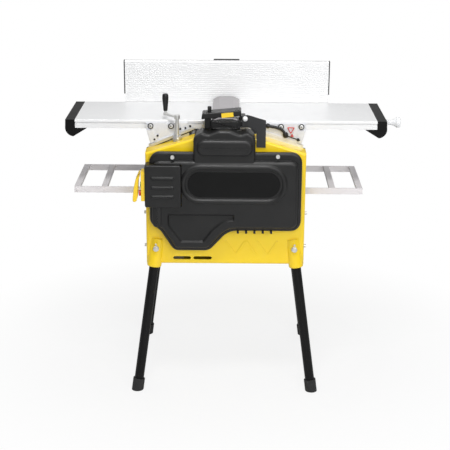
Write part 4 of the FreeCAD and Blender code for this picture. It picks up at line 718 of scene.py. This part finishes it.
def makeHolderKnobs():
    # height screw: a post with a grooved neck and a round pin in its head
    x, y = holder["post"]
    bm, pin = bmesh.new(), bmesh.new()
    turned(bm, spot(x, y, 891), (0, 0, 1), holder["screwProfile"], 24)
    finished(bm, "guardHeightScrew", "black_plastic", "guard_height", stands=("guard_height_screw",))
    turned(pin, spot(x, y - 5.4, 904), (0, -1, 0), holder["pinProfile"], 20)
    finished(pin, "guardPostPin", "zinc", "guard_height")
    # ball knob that clamps the holder
    low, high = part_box("guard_clamp_knob")
    bm = bmesh.new()
    radius, reach = holder["ball"], (high.y - low.y) / mm
    ball = [(0, 0)]
    for step in range(1, 12):
        angle = math.pi * 0.82 * step / 11
        ball.append((radius * math.sin(angle), radius - radius * math.cos(angle)))
    start = Vector(((low.x + high.x) / 2, low.y, (low.z + high.z) / 2))
    turned(bm, start, (0, 1, 0), [*ball, (holder["neck"], reach), (0, reach)], 32)
    finished(bm, "ballKnob", "white_plastic", "guard_clamp", stands=("guard_clamp_knob",))


makeHolder()
makeGuardEnd()
makeHolderKnobs()

fittings = dict(
    tableBolts=dict(outfeed=((-236, 855), (-172, 855)), infeed=((172, 855), (236, 855))),
    boltFront=-17.5, boltRear=287.5,
    ringProfile=[(6.2, 0), (9.2, 0), (9.2, 1.6), (8.4, 2.4), (6.4, 2.4)],
    faceProfile=[(6.3, -0.5), (6.3, 1.0), (5.2, 1.6), (2.2, 1.8), (1.8, 0.8), (0, 0.8)],
    legBolts=((-219, 476), (219, 476)), legFront=-97.6, legPin=15,
    headProfile=[(9, 0), (9, 1.0), (7.6, 2.8), (4.5, 3.6), (0, 3.8)],
    pinProfile=[(3.6, 0), (3.6, 3.4), (2.8, 4), (0, 4)],
    tabs=(36, 62, 88, 114, 140), tabWidth=7, tabRow=(535, 543),
)


def makeBolts():
    for side, places in fittings["tableBolts"].items():
        body = "body" if side == "outfeed" else "infeed"
        rings, faces = bmesh.new(), bmesh.new()
        for x, z in places:
            for y, way in ((fittings["boltFront"], -1), (fittings["boltRear"], 1)):
                turned(rings, spot(x, y - way * 1.5, z), (0, way, 0), fittings["ringProfile"], 32)
                turned(faces, spot(x, y, z), (0, way, 0), fittings["faceProfile"], 32)
        finished(rings, side + "BoltRings", "black_steel", body)
        finished(faces, side + "BoltFaces", "zinc", body)
    heads = bmesh.new()
    for x, z in fittings["legBolts"]:
        turned(heads, spot(x, fittings["legFront"], z), (0, -1, 0), fittings["headProfile"], 32)
        turned(heads, spot(x, -96, z + fittings["legPin"]), (0, -1, 0), fittings["pinProfile"], 6)
    finished(heads, "legBoltHeads", "zinc", "body")
    tabs = bmesh.new()
    for x in fittings["tabs"]:
        block(tabs, (x, x + fittings["tabWidth"]), (-116, -99), fittings["tabRow"], 1.0)
    finished(tabs, "coverTabs", "black_plastic", "body")


makeBolts()

lock = dict(
    lever=[(128, -19, 858), (150, -19, 855), (170, -19, 849), (181, -19, 840), (185, -19, 830)],
    leverRadius=4.6,
    link=[(185, -18, 828), (206, -18, 821), (232, -18, 812)], linkRadius=1.8,
    weight=[(0, 0), (6, 1), (8.5, 5), (8.5, 12), (6, 17), (0, 18)],
    pivot=[(0, 0), (6.5, 0), (7.5, 1), (7.5, 7), (0, 7)], eye=[(0, 0), (4, 0), (5, 1), (5, 6), (0, 6)],
    marks=((203, 852, 834, 10.5), (207, 824, 831, 4.0)), markLine=1.3,  # middle, base, tip, half width
)


def makeDepthLock():
    lever = bmesh.new()
    rod(lever, lock["lever"], lock["leverRadius"])
    turned(lever, spot(185, -19, 838), (0.2, 0, -1), lock["weight"], 24)
    turned(lever, spot(131, -21, 858), (0, 1, 0), lock["pivot"], 24)
    rod(lever, lock["link"], lock["linkRadius"])
    turned(lever, spot(226, -21, 814), (0, 1, 0), lock["eye"], 20)
    finished(lever, "depthLockLever", "black_plastic", "infeed")


makeDepthLock()

rail = dict(slope=23.0, middle=(-167, 821.5), length=146.0, sealDrop=6.4, studs=[
    (-214, 824, 3.2), (-224, 812, 3.0), (-143, 846, 3.4), (-127, 849, 3.0), (-112, 855, 3.4), (-150, 805, 3.6),
    (-170, 796, 3.0),
])


def makeRail():  # along the outfeed saddle's foot, with the seal and studs below it
    angle = math.radians(rail["slope"])
    turn = Matrix.Rotation(-angle, 3, "Y")
    x, z = rail["middle"]
    half = rail["length"] / 2
    bar, seal = bmesh.new(), bmesh.new()
    block(bar, (x - half, x + half), (-19.5, -15), (z - 4.6, z + 4.6), 1.0, turn)
    x, z = x + rail["sealDrop"] * math.sin(angle), z - rail["sealDrop"] * math.cos(angle)
    block(seal, (x - half, x + half), (-18.5, -15), (z - 1.5, z + 1.5), 0.5, turn)
    for across, up, radius in rail["studs"]:
        profile = [(0, 0), (radius, 0), (radius, 4), (radius * 0.7, 5), (0, 5)]
        turned(seal, spot(across, -14, up), (0, -1, 0), profile, 20)
    finished(bar, "saddleRail", "zinc", "body")
    finished(seal, "saddleSeal", "black_steel", "body")


makeRail()


def makeMarks():  # plain triangles beside the depth lock
    marks = bmesh.new()
    line = lock["markLine"]
    for middle, base, tip, half in lock["marks"]:
        corners = [spot(middle - half, -16, base), spot(middle + half, -16, base), spot(middle, -16, tip)]
        for start, end in zip(corners, corners[1:] + corners[:1]):
            length = (end - start).length / mm
            turned(marks, start, end - start, [(0, 0), (line, 0), (line, length), (0, length)], 8)
    finished(marks, "depthMarks", "red_plastic", "infeed")


makeMarks()
print("holder and fittings made")

# floor, light and camera

stageSet = dict(
    size=14.0, near=0.5, far=1.1, paleness=0.80,
    world=0.44, low=0.06, high=1.7, skyRange=(0.05, 0.80), aim=(0, 60, 700),
    lamps=dict(  # place, size, watts
        keyLight=((800, -2500, 1700), 1.8, 34.0),
        topLight=((-60, -900, 2500), 0.45, 18.0),
        backLight=((300, 600, 2700), 1.6, 4.0),
    ),
)


def makeFloor():  # a matt floor that fades to plain white with distance
    bm = bmesh.new()
    bmesh.ops.create_grid(bm, x_segments=8, y_segments=8, size=stageSet["size"] / 2)
    mesh = bpy.data.meshes.new("floor")
    bm.to_mesh(mesh)
    bm.free()
    floor = bpy.data.objects.new("floor", mesh)
    bpy.context.scene.collection.objects.link(floor)
    kit = Kit("paleFloor")
    seen = kit.node("ShaderNodeLightPath", {}, give="Is Camera Ray")
    colour = kit.mixed((0.90, 0.90, 0.90), (0.96, 0.96, 0.96), kit.noise(30.0))
    matte = kit.node("ShaderNodeBsdfDiffuse", {}, Color=colour)
    bright = kit.node("ShaderNodeEmission", {}, Color=(1.0, 1.0, 1.0), Strength=1.0)
    reach = kit.node("ShaderNodeVectorMath", dict(operation="LENGTH"), kit.place(), give=1)
    fade = reach.over(stageSet["near"], stageSet["far"]) * (1.0 - stageSet["paleness"]) + stageSet["paleness"]
    shown = kit.node("ShaderNodeMixShader", {}, seen * fade, matte, bright)
    kit.node("ShaderNodeOutputMaterial", {}, shown)
    mesh.materials.append(kit.material)


def makeWorld():  # gloss sees a soft box overhead and dim walls, the camera sees white
    world = bpy.data.worlds.new("studio")
    bpy.context.scene.world = world
    kit = Kit("studio", world)
    way = kit.node("ShaderNodeTexCoord", {}, give="Generated")
    height = kit.node("ShaderNodeSeparateXYZ", {}, way, give="Z")
    glow = kit.node("ShaderNodeMapRange", {}, height, *stageSet["skyRange"], stageSet["low"], stageSet["high"])
    sky = kit.node("ShaderNodeBackground", {}, Strength=glow)
    light = kit.node("ShaderNodeBackground", {}, Color=(0.97, 0.985, 1.0), Strength=stageSet["world"])
    white = kit.node("ShaderNodeBackground", {}, Color=(1.0, 1.0, 1.0), Strength=1.0)
    fromGloss = kit.node("ShaderNodeLightPath", {}, give="Is Glossy Ray")
    fromCamera = kit.node("ShaderNodeLightPath", {}, give="Is Camera Ray")
    below = kit.node("ShaderNodeMixShader", {}, fromGloss, light, sky)
    kit.node("ShaderNodeOutputWorld", {}, kit.node("ShaderNodeMixShader", {}, fromCamera, below, white))


def makeLamps():
    for name, (at, size, power) in stageSet["lamps"].items():
        lamp = bpy.data.lights.new(name, "AREA")
        lamp.size, lamp.energy = size, power
        stand = bpy.data.objects.new(name, lamp)
        bpy.context.scene.collection.objects.link(stand)
        stand.location = spot(*at)
        aim = spot(*stageSet["aim"]) - stand.location
        stand.rotation_euler = aim.to_track_quat("-Z", "Y").to_euler()


makeFloor()
makeWorld()
makeLamps()

viewpoint = dict(
    at=(18.734, -3538.491, 1685.304), yaw=-0.327, pitch=18.148, roll=0.325, lens=92.288, sensor=36.0,
)


def makeCamera():
    yaw, pitch, roll = (math.radians(viewpoint[k]) for k in ("yaw", "pitch", "roll"))
    forward = Vector((math.sin(yaw) * math.cos(pitch), math.cos(yaw) * math.cos(pitch), -math.sin(pitch)))
    right = Vector((math.cos(yaw), -math.sin(yaw), 0))
    up = right.cross(forward)
    right, up = right * math.cos(roll) + up * math.sin(roll), up * math.cos(roll) - right * math.sin(roll)
    lens = bpy.data.cameras.new("camera")
    lens.lens, lens.sensor_width, lens.sensor_fit = viewpoint["lens"], viewpoint["sensor"], "HORIZONTAL"
    lens.clip_start, lens.clip_end = 0.1, 50.0
    camera = bpy.data.objects.new("camera", lens)
    bpy.context.scene.collection.objects.link(camera)
    turn = Matrix((right, up, -forward)).transposed().to_4x4()
    camera.matrix_world = Matrix.Translation(spot(*viewpoint["at"])) @ turn
    bpy.context.scene.camera = camera


makeCamera()
bpy.context.scene.view_settings.view_transform = "Standard"
print("stage, light and camera made")
